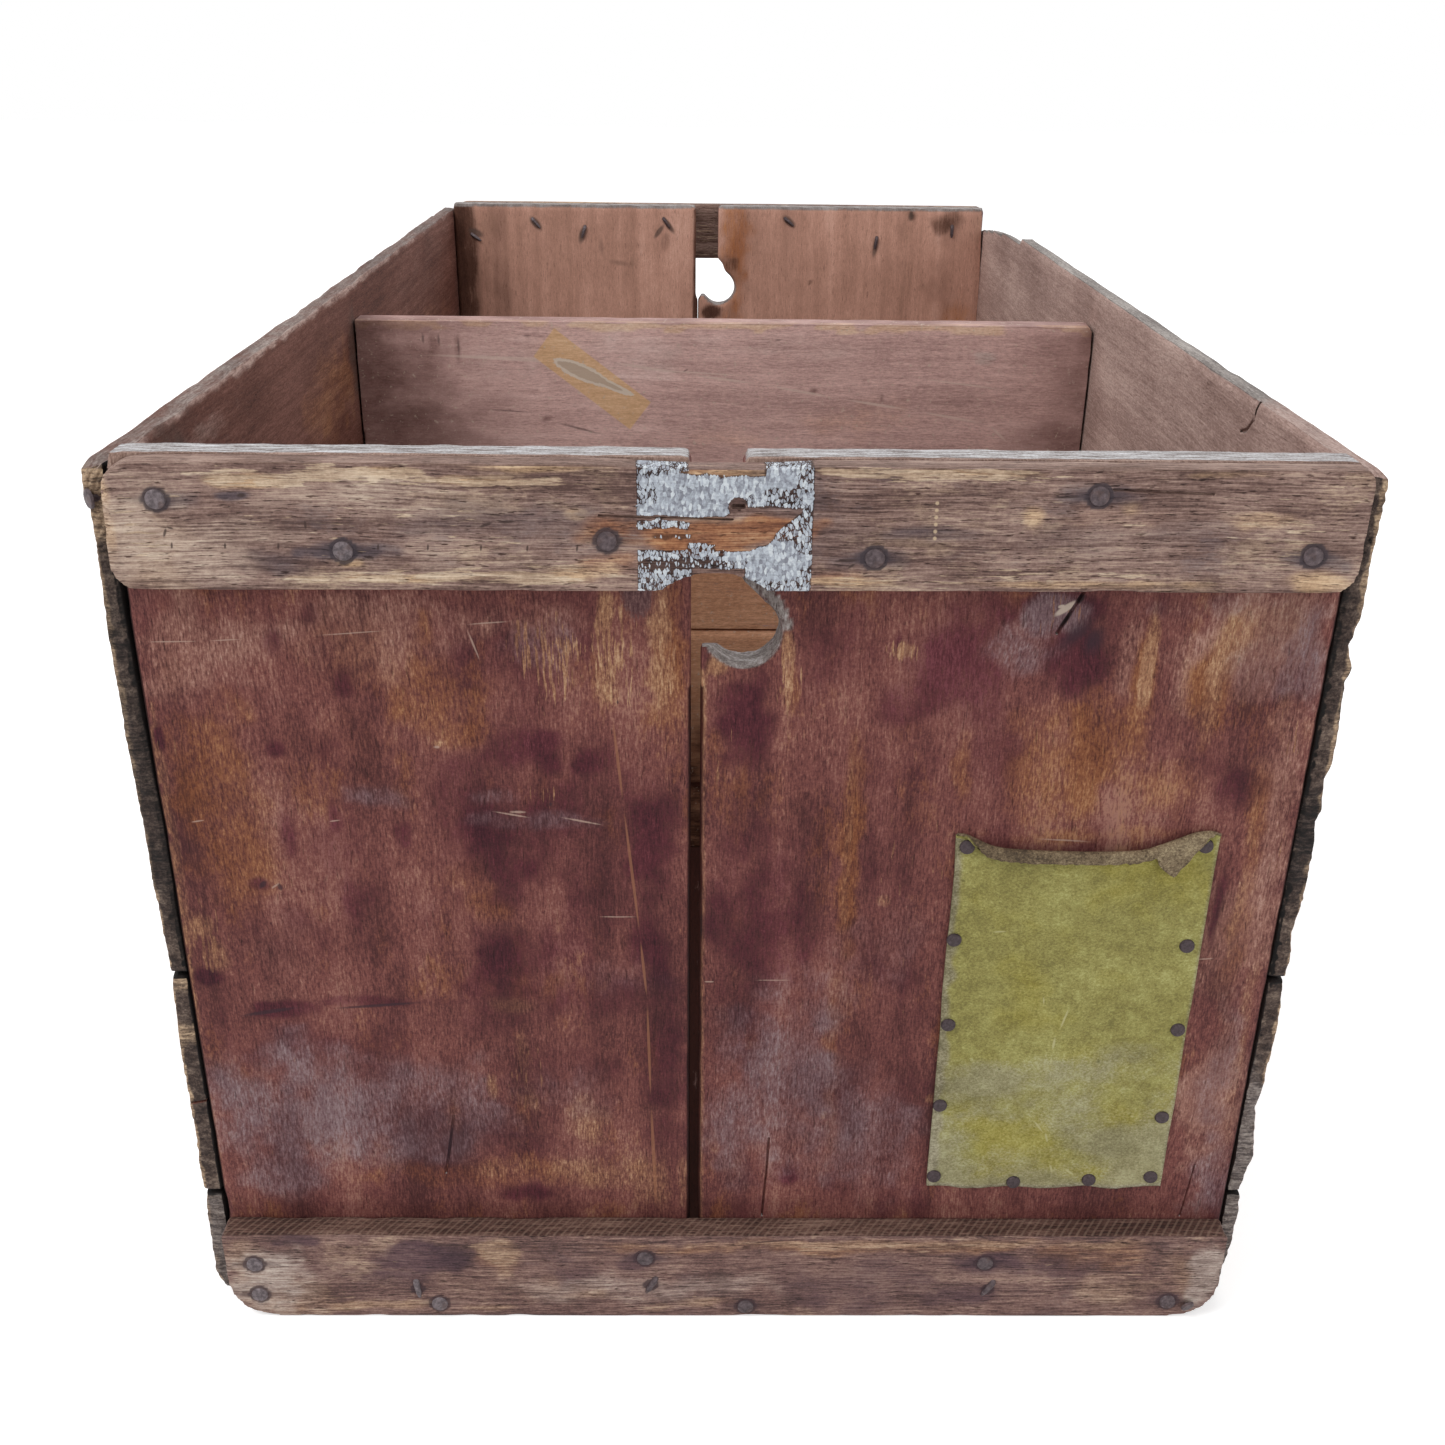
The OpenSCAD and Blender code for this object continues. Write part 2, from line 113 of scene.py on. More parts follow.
def modify(piece, kind, **settings):
    """Adds a modifier with its settings, and applies it."""
    only(piece)
    modifier = piece.modifiers.new(kind, kind)
    for name, value in settings.items():
        setattr(modifier, name, value)
    bpy.ops.object.modifier_apply(modifier=modifier.name)


def cut(piece, tool):
    """Takes the shape of a tool out of a piece."""
    modify(piece, "BOOLEAN", operation="DIFFERENCE", object=tool, solver="EXACT")
    bpy.data.objects.remove(tool)


def pick(piece, part, test):
    """Goes into edit mode with only the faces or edges selected whose middles pass a test."""
    only(piece)
    bpy.ops.object.mode_set(mode="EDIT")
    bpy.ops.mesh.select_mode(type=part)
    bpy.ops.mesh.select_all(action="DESELECT")
    bpy.ops.object.mode_set(mode="OBJECT")
    mesh = piece.data
    corners = read(mesh.vertices, "co") / MM
    if part == "EDGE":
        ends = np.empty(len(mesh.edges) * 2, int)
        mesh.edges.foreach_get("vertices", ends)
        ends = ends.reshape(-1, 2)
        middles = (corners[ends[:, 0]] + corners[ends[:, 1]]) / 2
        ways = np.abs(corners[ends[:, 0]] - corners[ends[:, 1]])
        found = test(middles, ways)
        mesh.edges.foreach_set("select", found)
    else:
        found = test(read(mesh.polygons, "center") / MM, read(mesh.polygons, "normal"))
        mesh.polygons.foreach_set("select", found)
    bpy.ops.object.mode_set(mode="EDIT")
    return int(np.sum(found))


def done():
    bpy.ops.object.mode_set(mode="OBJECT")


def read(items, name):
    """A vector property of all vertices or faces as rows of three numbers."""
    values = np.empty(len(items) * 3)
    items.foreach_get(name, values)
    return values.reshape(-1, 3)


def write(piece, places):
    piece.data.vertices.foreach_set("co", (places * MM).astype(np.float32).ravel())
    piece.data.update()


def surface(piece):
    """Where the vertices of a piece are, in millimetres, and which way they face."""
    return read(piece.data.vertices, "co") / MM, read(piece.data.vertices, "normal")


def round_off(piece, radius, test, segments=8):
    """Rounds the edges that pass a test."""
    if pick(piece, "EDGE", test):
        bpy.ops.mesh.bevel(offset=radius * MM, segments=segments, affect="EDGES")
    done()


def ripple(places, size, seed):
    """Smooth noise from -1 to 1 whose swells have the given size along X, Y and Z."""
    q = places / np.array(size, float) + seed * np.array([17.31, 5.77, 29.13])
    cell = np.floor(q).astype(np.int64)
    share = q - cell
    share = share * share * (3 - 2 * share)
    total = np.zeros(len(places))
    for corner in range(8):
        step = np.array([corner & 1, corner >> 1 & 1, corner >> 2 & 1])
        c = cell + step
        h = (c[:, 0] * 374761393 + c[:, 1] * 668265263 + c[:, 2] * 1274126177) & 0xFFFFFFFF
        h = ((h ^ (h >> 13)) * 1103515245) & 0xFFFFFFFF
        value = ((h ^ (h >> 16)) & 0xFFFF) / 32767.5 - 1
        total += value * np.prod(np.where(step, share, 1 - share), axis=1)
    return total


def smooth(value, low, high):
    """0 below low, 1 above high, with an even step between them."""
    t = np.clip((value - low) / (high - low), 0, 1)
    return t * t * (3 - 2 * t)


def hump(value, low, high, soft):
    """1 between low and high, and 0 further out than soft."""
    return smooth(value, low - soft, low) * (1 - smooth(value, high, high + soft))


def weather(piece, grain, seed, relief=0.2, sway=0.35, chips=0.8, chip_size=7.0, reach=4.0):
    """Wears a board inwards: long low waves, ridges along the grain, broken edges."""
    p, n = surface(piece)
    low, high = p.min(0), p.max(0)
    long_way = np.where(np.arange(3) == grain, 1.0, 0.0)
    waves = ripple(p, 42 * (1 + 3 * long_way), seed)
    ridges = ripple(p, 3.1 * (1 + 16 * long_way), seed + 1)
    from_faces = np.sort(np.minimum(p - low, high - p), axis=1)[:, 1]
    edge = np.clip(1 - from_faces / reach, 0, 1)
    nicks = smooth(ripple(p, chip_size * (1 + 0.8 * long_way), seed + 2), 0.1, 0.9)
    bites = smooth(ripple(p, 2.2 * chip_size * (1 + long_way), seed + 3), 0.35, 0.8)
    depth = sway * (0.15 + 0.5 * waves) + relief * (0.3 + 0.5 * ridges)
    depth += chips * edge * (nicks + 1.2 * bites)
    write(piece, np.clip(p - n * depth[:, None], low, high))


def refine(piece, test):
    """Halves the faces that pass a test, for finer shaping there."""
    if pick(piece, "FACE", test):
        bpy.ops.mesh.subdivide(number_cuts=1)
    done()


def lay_on(piece, channel, amount):
    """Adds to a channel of wear, from an array with one number for each vertex."""
    mesh = piece.data
    layer = mesh.attributes.get(channel) or mesh.attributes.new(channel, "FLOAT", "POINT")
    values = np.empty(len(mesh.vertices))
    layer.data.foreach_get("value", values)
    layer.data.foreach_set("value", np.maximum(values, amount).astype(np.float32))


def paint(piece, channel, spots, axes=(0, 2), facing=None, ragged=0.4):
    """Lays soft, uneven spots of wear on a piece: centre, half sizes and amount."""
    p, n = surface(piece)
    seen = np.ones(len(p)) if facing is None else smooth(n @ np.array(facing, float), 0.1, 0.6)
    shift_u = ragged * (ripple(p, 3.4, 4) * 0.5 + ripple(p, 8, 5) + ripple(p, 24, 6))
    shift_v = ragged * (ripple(p, 4.5, 3) * 0.5 + ripple(p, 9, 7) + ripple(p, 24, 8))
    total = np.zeros(len(p))
    for u, v, half_u, half_v, amount in spots:
        away = np.hypot((p[:, axes[0]] - u) / half_u + shift_u, (p[:, axes[1]] - v) / half_v + shift_v)
        total = np.maximum(total, amount * (1 - smooth(away, 0.3, 1.5)))
    lay_on(piece, channel, total * seen)


def gap_to(places, line):
    """How far points on a face are from a line through given points."""
    best = np.full(len(places), 1e9)
    for start, end in zip(line, line[1:]):
        way = np.subtract(end, start).astype(float)
        q = places - np.array(start, float)
        t = np.clip(q @ way / (way @ way), 0, 1)
        best = np.minimum(best, np.linalg.norm(q - t[:, None] * way, axis=1))
    return best


def groove(piece, line, width, depth, axes=(0, 2), facing=FRONT):
    """Opens a crack along a line of points: the faces beside it are made finer, then sunk."""
    way = np.array(facing, float)
    for near in (3.2, 1.6, 0.9):
        refine(piece, lambda c, n: (gap_to(c[:, axes], line) < near) & (n @ way > 0.5))
    p, n = surface(piece)
    sunk = depth * (1 - smooth(gap_to(p[:, axes], line), 0.3 * width, width)) * (n @ way > 0.3)
    write(piece, p - way * sunk[:, None])


# Finishes


def tone(code):
    """An sRGB hex value as the linear colour that the shaders mix."""
    parts = [int(code[i : i + 2], 16) / 255 for i in (1, 3, 5)]
    return [c / 12.92 if c <= 0.04045 else ((c + 0.055) / 1.055) ** 2.4 for c in parts] + [1.0]


def add(tree, kind, inputs, out=0, stops=(), **settings):
    """Adds a node with its settings, values and links, and returns one of its outputs."""
    node = tree.nodes.new("ShaderNode" + kind)
    for name, value in settings.items():
        setattr(node, name, value)
    for name, value in inputs.items():
        if isinstance(value, bpy.types.NodeSocket):
            tree.links.new(value, node.inputs[name])
        else:
            node.inputs[name].default_value = value
    for i, (position, code) in enumerate(stops):
        elements = node.color_ramp.elements
        element = elements[i] if i < 2 else elements.new(position)
        element.position = position
        element.color = tone(code)
    return node.outputs[out]


class Finish:
    """A material under way: its tree, its place in millimetres, its colour and its height."""

    def __init__(self, name):
        self.material = bpy.data.materials.new(name)
        self.material.use_nodes = True
        self.tree = self.material.node_tree
        place = add(self.tree, "TexCoord", {}, "Object")
        self.mm = add(self.tree, "VectorMath", {0: place, "Scale": 1 / MM}, operation="SCALE")
        self.colour = self.height = None

    def mottle(self, size, detail=3.0, roughness=0.55, seed=0, place=None):
        """Cloudy variation whose spots have the given size in millimetres along X, Y and Z."""
        scale = tuple(1 / np.broadcast_to(size, 3))
        place = add(self.tree, "Mapping", {"Vector": place or self.mm, "Scale": scale,
                                           "Location": (7.3 * seed,) * 3})
        return add(self.tree, "TexNoise", {"Vector": place, "Scale": 1.0, "Detail": detail,
                                           "Roughness": roughness})

    def total(self, *pairs):
        """Adds up values by their weights; the sum is a half where all of them are."""
        value = 0.5 - 0.5 * sum(weight for _, weight in pairs)
        for part, weight in pairs:
            value = add(self.tree, "Math", {0: part, 1: weight, 2: value}, operation="MULTIPLY_ADD")
        return value

    def lay(self, mask, codes, value=0.5, between=(0.0, 1.0), most=1.0, blend="MIX"):
        """Lays tones, from deep to light along a value, over what is there, where the mask is."""
        mask = add(self.tree, "MapRange", {"Value": mask, "From Min": between[0], "From Max": between[1],
                                           "To Max": most}, interpolation_type="SMOOTHSTEP")
        colour = tone(codes) if isinstance(codes, str) else add(
            self.tree, "ValToRGB", {"Fac": value}, stops=zip((0.22, 0.42, 0.6, 0.82), codes))
        self.colour = add(self.tree, "Mix", {0: mask, 6: self.colour or (0, 0, 0, 1), 7: colour}, 2,
                          data_type="RGBA", blend_type=blend)
        return mask

    def worn(self, channel, ragged, base=0.3):
        """A painted channel of wear, broken up by a value."""
        painted = add(self.tree, "Attribute", {}, "Fac", attribute_name=channel)
        ragged = add(self.tree, "Math", {0: ragged, 1: 2 - 2 * base, 2: base}, operation="MULTIPLY_ADD")
        return add(self.tree, "Math", {0: painted, 1: ragged}, operation="MULTIPLY")

    def strokes(self, lines, level, axis="Y", deep=4.0):
        """Thin tapered strokes between pairs of points on a face, as one mask."""
        mask = 0.0
        for u0, v0, u1, v1, width in lines:
            middle = ((u0 + u1) / 2, (v0 + v1) / 2)
            half = math.hypot(u1 - u0, v1 - v0) / 2
            turn = math.atan2(v1 - v0, u1 - u0)
            if axis == "Y":
                place, size, angle = (middle[0], level, middle[1]), (half, deep, width), (0, -turn, 0)
            else:
                place, size, angle = (level, *middle), (deep, half, width), (turn, 0, 0)
            stroke = add(self.tree, "Mapping", {"Vector": self.mm, "Location": place, "Rotation": angle,
                                                "Scale": size}, vector_type="TEXTURE")
            stroke = add(self.tree, "TexGradient", {0: stroke}, 1, gradient_type="SPHERICAL")
            mask = add(self.tree, "Math", {0: mask, 1: stroke}, operation="MAXIMUM")
        return mask

    def finish(self, roughness, bump, specular=0.3, metallic=0.0):
        """Links the colour, the height and the roughness to the shader."""
        shader = self.tree.nodes["Principled BSDF"]
        shader.inputs["Specular IOR Level"].default_value = specular
        shader.inputs["Metallic"].default_value = metallic
        self.tree.links.new(self.colour, shader.inputs["Base Color"])
        if isinstance(roughness, bpy.types.NodeSocket):
            self.tree.links.new(roughness, shader.inputs["Roughness"])
        else:
            shader.inputs["Roughness"].default_value = roughness
        raised = add(self.tree, "Bump", {"Height": self.height, "Distance": bump * MM, "Strength": 1.0})
        self.tree.links.new(raised, shader.inputs["Normal"])
        return self.material


def old_wood(name, grain, palettes, seed, contrast=1.0, cloud=42.0, thread=(0.8, 7.0), streak=(2.2, 46.0),
             band=(11.0, 260.0), weights=(0.6, 0.55, 0.4, 0.8, 0.3, 0.75), tatters=(0.9, 1.4, 0.5, 0.5),
             flakes=0.15, pores=0.5, sawn=None):
    """Old softwood: tones run along the grain, and each painted kind of wear has its own tones."""
    f = Finish(name)
    tree = f.tree
    along = np.where(np.arange(3) == grain, 1.0, 0.0)
    across = np.array([(0, 0, 1), (1, 0, 0), (1, 0, 0)][grain], float)
    sway = add(tree, "TexNoise", {"Vector": f.mm, "Scale": 1 / 110, "Detail": 4.0}, "Color")
    bent = add(tree, "VectorMath", {0: sway, 1: tuple(7 * (1 - along)), 2: f.mm}, operation="MULTIPLY_ADD")
    flow = add(tree, "Attribute", {}, "Fac", attribute_name="flow")
    flow = add(tree, "VectorMath", {0: tuple(across), "Scale": flow}, operation="SCALE")
    bent = add(tree, "VectorMath", {0: bent, 1: flow}, operation="ADD")
    sizes = [thin * (1 - along) + long * along for thin, long in (thread, streak, band)]
    f.threads = f.mottle(sizes[0], 3.0, 0.65, seed, bent)
    f.streaks = f.mottle(sizes[1], 4.0, 0.6, seed + 1, bent)
    bands = f.mottle(sizes[2], 2.0, 0.5, seed + 2, bent)
    f.clouds = f.mottle(cloud * (1 + 0.5 * along), 5.0, 0.62, seed + 3)
    f.grit = f.mottle(0.9, 3.0, 0.7, seed + 4)
    f.specks = f.mottle(0.75 * (1 - along) + 2.6 * along, 3.0, 0.65, seed + 9, bent)
    parts = zip((f.threads, f.streaks, bands, f.clouds, f.grit, f.specks), weights)
    value = f.total(*((part, weight * contrast) for part, weight in parts))
    spots = f.mottle(13 * (1 + along), 4.0, 0.65, seed + 5)
    ragged = f.total(*zip((f.streaks, spots, f.threads, f.specks), tatters))
    f.value, f.ragged = value, ragged
    f.lay(1.0, palettes["base"], value)
    for i, (codes, low, high, most) in enumerate(palettes.get("drift", ())):
        drift = f.total((f.mottle(19 * (1 + along), 5.0, 0.65, seed + 30 + i), 1.0), (f.specks, 0.3))
        f.lay(drift, codes, value, (low, high), most)
    f.masks = {}
    for channel in CHANNELS[:6]:
        if channel in palettes:
            mask = f.worn(channel, ragged)
            f.masks[channel] = f.lay(mask, palettes[channel], value, (0.08, 0.85))
    if sawn:
        normal = add(tree, "TexCoord", {}, "Normal")
        facing = add(tree, "VectorMath", {0: normal, 1: tuple(along)}, "Value", operation="DOT_PRODUCT")
        facing = add(tree, "Math", {0: facing}, operation="ABSOLUTE")
        end_value = f.total((f.grit, 0.9), (f.mottle((6, 2.2, 3), 4.0, 0.65, seed + 6), 1.4))
        f.end_mask = f.lay(facing, sawn, end_value, (0.55, 0.8))
    f.lay(f.worn("rubbed", ragged, 0.6), palettes.get("rubbed", palettes["tan"]), value, (0.1, 0.8))
    f.lay(f.worn("dirt_and_shade", ragged), palettes.get("dirt_and_shade", "#5a3f38"), 0.5, (0.05, 0.8), blend="MULTIPLY")
    pits = f.mottle(0.55 * (1 - along) + 5 * along, 2.0, 0.6, seed + 7, bent)
    pit_mask = f.lay(pits, "#6b4f47", 0.5, (0.6, 0.7), pores, "MULTIPLY")
    crumbs = f.mottle(1.0 * (1 - along) + 12 * along, 3.0, 0.6, seed + 8, bent)
    density = add(tree, "Attribute", {}, "Fac", attribute_name="flake")
    crumbs = add(tree, "Math", {0: density, 1: 0.34, 2: crumbs}, operation="MULTIPLY_ADD")
    level = 0.76 - 0.1 * flakes
    flaked = f.lay(crumbs, palettes.get("flake", palettes["tan"]), value, (level, level + 0.05), 0.85)
    f.height = f.total((f.threads, 0.8), (f.streaks, 0.5), (f.grit, 0.4), (pit_mask, -0.5), (flaked, 0.35))
    return f


PURPLE = ("#300f19", "#431b23", "#57272e", "#703b42")
ORANGE = ("#5a3120", "#74432c", "#8b593c", "#a87a58")
END_WOOD = {
    "base": ("#472525", "#643936", "#7b4a44", "#9b6f61"),
    "drift": ((PURPLE, 0.5, 0.68, 0.6), (ORANGE, 0.54, 0.7, 0.6)),
    "warm": ORANGE,
    "tan": ("#694537", "#875c46", "#a57a5c", "#c4a07e"),
    "stain_and_shade": PURPLE,
    "dusty": ("#5b4246", "#6d5357", "#806769", "#968183"),
    "bare": ("#6b453e", "#84594f", "#9a7063", "#b48e81"),
    "grey": ("#5b524f", "#817773", "#9e9693", "#bfb9b8"),
    "rubbed": ("#5d463e", "#7b6156", "#93796d", "#ad9488"),
    "dirt_and_shade": "#5c3128",
}
# The back end's inside is laid much paler than the front's: partly drier wood, partly painted light that makes up for
# the shade inside the crate.
FAR_WOOD = {
    **END_WOOD,
    "bare": ("#9c7866", "#b68a78", "#cd9e8b", "#e4b8a6"),
    "warm": ("#8a5234", "#a56a46", "#bd825a", "#d3a07a"),
    "stain_and_shade": ("#3c251d", "#52352a", "#6b4a3d", "#876657"),
}
TOP_BATTEN = {
    "base": ("#553f3a", "#775d55", "#957a70", "#b69c8c"),
    "drift": ((("#4a3e40", "#625356", "#7a6a69", "#928280"), 0.54, 0.7, 0.6),
              (("#7a6354", "#9c836f", "#b89e86", "#d2bb9f"), 0.54, 0.68, 0.55)),
    "warm": ("#68402d", "#8c5a3e", "#ab7753", "#c79b72"),
    "rubbed": ("#5a443b", "#7a6056", "#957b70", "#b0978a"),
    "tan": ("#836953", "#aa8b6e", "#c9a888", "#e2c6a3"),
    "stain_and_shade": ("#40353a", "#57494d", "#6d5d5e", "#857572"),
    "dusty": ("#8b746a", "#a99183", "#c0a999", "#d7c4b1"),
    "flake": ("#9a806b", "#b79d85", "#cfb79e", "#e3cfb7"),
    "dirt_and_shade": "#4a3a35",
}
LOW_BATTEN = {
    "base": ("#493633", "#6c504b", "#886a62", "#a98c7d"),
    "drift": ((("#3d2f32", "#554347", "#6b5556", "#806a69"), 0.54, 0.7, 0.6),
              (("#755b4b", "#967867", "#ae927e", "#c9b096"), 0.56, 0.7, 0.6)),
    "warm": ("#6b432e", "#825a42", "#9f7556", "#bd936f"),
    "tan": ("#7d5f4e", "#a08068", "#ba9a82", "#d2b69b"),
    "stain_and_shade": ("#38282d", "#4c373d", "#61474a", "#775e5d"),
    "dusty": ("#86736b", "#a18e85", "#b9a79d", "#cfc1b5"),
    "grey": ("#321f1a", "#4b322b", "#644940", "#84695c"),
    "flake": ("#886c5d", "#a78972", "#c1a48b", "#d6bfa5"),
    "dirt_and_shade": "#4a3430",
}
# Laid much paler than this wood is: painted light that makes up for the shade inside the crate.
PARTITION_WOOD = {
    "base": ("#a5837d", "#c29d96", "#d9b3ab", "#efcdc5"),
    "warm": ("#a07156", "#bb8867", "#d5a17f", "#eebe9b"),
    "tan": ("#b08c78", "#cfa78f", "#e3c1a8", "#f2d8c2"),
    "stain_and_shade": ("#64463f", "#7d5c56", "#94716b", "#ab8a83"),
    "dusty": ("#a58d86", "#bca59c", "#d1bab3", "#e6d0c9"),
    "dirt_and_shade": "#4a2f28",
}
SIDE_WOOD = {
    "base": ("#4c2b24", "#623c32", "#754c41", "#8d6358"),
    "warm": ("#6b3f28", "#7f5038", "#946549", "#a97d60"),
    "tan": ("#7a6252", "#967c68", "#b0967f", "#cbb39c"),
    "stain_and_shade": ("#3c2a26", "#4d3832", "#5f4840", "#725a51"),
    "dusty": ("#8b7067", "#a58980", "#bca096", "#d3b9ae"),
    "grey": ("#564e4a", "#746c68", "#938b86", "#b8b0aa"),
    "flake": ("#8a7462", "#a38c78", "#bca58f", "#d3bda6"),
    "dirt_and_shade": "#2c1f1b",
}
SAWN_ENDS = ("#241b18", "#3e312c", "#5a4b43", "#827164")
SAWN_TIPS = ("#5b524f", "#817773", "#9e9693", "#bfb9b8")


# Boards


def board(node, pitch, shape=None):
    """A board in the place of its CAD node, shaped by its own cuts and made of even faces."""
    low, high = (np.array(c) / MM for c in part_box(node))
    piece = block(node + "_timber", low, high)
    if shape:
        shape(piece, low, high)
    modify(piece, "REMESH", mode="VOXEL", voxel_size=pitch * COARSE * MM)
    return piece


def at(value, target, slack=0.4):
    return np.abs(value - target) < slack


def top_edge(x):
    """Finds an end board's upper edge at x, through its thickness."""
    return lambda m, w: at(m[:, 0], x) & at(m[:, 2], END_H) & (w[:, 1] > 5)


def end_shape(end, right):
    """Cuts for an end board: rounded corners, and in a right one the bored hole and the slot above it."""
    seam = SEAMS[end]
    face = -HALF_L if end == "front" else HALF_L
    inwards = 1 if end == "front" else -1

    def shape(piece, low, high):
        inner, outer, radius = high[0], low[0], 4.0
        if right:
            hole_x = seam + HOLE_FROM_SEAM
            inner, outer, radius = seam + SLOT_W, high[0], 3.0
            y = (low[1] + high[1]) / 2
            cut(piece, block("slot", (low[0] - 1, low[1] - 1, SLOT_Z), (inner, high[1] + 1, END_H + 1)))
            cut(piece, rod("bore", HOLE_R, 60, (hole_x, face, HOLE_Z)))
            near, far = (HOLE_R + 2.0, HOLE_R - 1.4) if end == "front" else (HOLE_R - 1.4, HOLE_R + 2.0)
            cut(piece, rod("rim", near, 8, (hole_x + 0.4, face + inwards * 1.5, HOLE_Z - 0.3), far))
            # Hands have worn the corner above the hole, and the thin tip left of it has split off.
            worn = block("worn_corner", (hole_x - 4.9, y - 12, 288.8), (hole_x + 4.3, y + 12, 296.8),
                         (0, math.radians(43.6), 0))
            cut(piece, worn)
            lean = -0.34 if end == "front" else 0
            cut(piece, block("tip", (low[0] - 1, y - 9, 275.4), (hole_x - 4, y + 9, 283.4), (lean, 0, 0)))
            if end == "back":
                cut(piece, rod("worn_side", 7.5, 60, (seam + 12.6, face, 294.5)))
        round_off(piece, 3.0, top_edge(inner))
        if end == "front":
            round_off(piece, radius, top_edge(outer))

    return shape


def batten_shape(end, top):
    """Cuts for a batten: rounded corners, and for an upper one the finger notch."""

    def shape(piece, low, high):
        upper = (8.0, 3.0) if top else (2.0, 2.0)
        lower = 8.0 if top else 17.0
        corners = ((low[0], high[2], upper[0]), (high[0], high[2], upper[1]),
                   (low[0], low[2], lower), (high[0], low[2], lower))
        for x, z, radius in corners:
            round_off(piece, radius, lambda m, w: at(m[:, 2], z) & (w[:, 1] > 5) & at(m[:, 0], x))
        if top:
            rise = 6.2 if end == "front" else 1.8
            radius = (16.5**2 + rise**2) / (2 * rise)
            middle = (SEAMS[end] + 7.2, (low[1] + high[1]) / 2, BATTEN_Z + rise - radius)
            cut(piece, rod("notch", radius, 40, middle, sides=160))

    return shape


def wall_shape(side, level):
    """Cuts for a side board: worn corners, and the broken top at the back right."""

    def shape(piece, low, high):
        for z, radius, wanted in ((high[2], 2.5, level == 2), (low[2], 9.0, level == 0)):
            if wanted:
                round_off(piece, radius, lambda m, w: at(m[:, 2], z) & (w[:, 0] > 5))
        if side > 0 and level == 2:
            breaks = ((-147, -3.2, -103, -3.4), (-103, -3.4, -63, -5.0), (-63, -5.0, -33, -8.0),
                      (-33, -8.0, 3, -12.0))
            for y0, z0, y1, z1 in breaks:
                y0, z0, y1, z1 = HALF_L + y0, SIDE_H + z0, HALF_L + y1, SIDE_H + z1
                turn = math.atan2(z1 - z0, y1 - y0)
                half = math.hypot(y1 - y0, z1 - z0) / 2
                middle = Vector((HALF_W + SIDE_T / 2, (y0 + y1) / 2, (z0 + z1) / 2 - 1.2))
                middle += Vector((0.28, -math.sin(turn), math.cos(turn))).normalized() * 15
                size = Vector((20, half + 0.3, 15))
                cut(piece, block("break", middle - size, middle + size, (turn, math.radians(16), 0)))

    return shape


def hollow_top(piece):
    """The upper front batten's top, worn down by hands over the seam."""
    p, _ = surface(piece)
    share = np.clip(1 - ((p[:, 0] - SEAMS["front"] - 7.2) / 32) ** 2, 0, 1)
    p[:, 2] -= 1.2 * share * smooth(p[:, 2], 322, 338)
    write(piece, p)


# How far the front outer edge of each side wall is broken back, by height.
EDGE_WEAR = {
    -1: ((3, 2.5), (14, 0.2), (32, 0.2), (50, 1.3), (63, 0.7), (90, 1.2), (116, 0.7), (152, 2.1), (191, 0.9),
         (209, 1.3), (220, 0.6), (244, 0.0), (277, 0.0), (310, 1.1), (321, 1.1), (326, 0.0)),
    1: ((13, 4.0), (27, 2.1), (43, 2.0), (56, 3.0), (64, 1.7), (71, 0.4), (86, 2.3), (93, 3.2), (101, 2.2),
        (117, 1.1), (138, 1.1), (148, 2.2), (160, 1.3), (169, 2.6), (184, 1.0), (206, 0.9), (214, 2.2),
        (218, 0.7), (230, 1.8), (234, 0.1), (249, 0.3), (265, 1.5), (270, 0.1), (278, 2.7), (288, 0.2),
        (307, 0.6), (332, 0.0)),
}


# How wide the gap between the end board and the front end of each side wall is, by height.
GAPS = {
    -1: ((50, 0.4), (150, 0.5), (215, 0.4), (225, 0.9), (255, 1.3), (297, 2.0), (325, 1.8), (334, 1.2)),
    1: ((50, 0.3), (334, 0.4)),
}


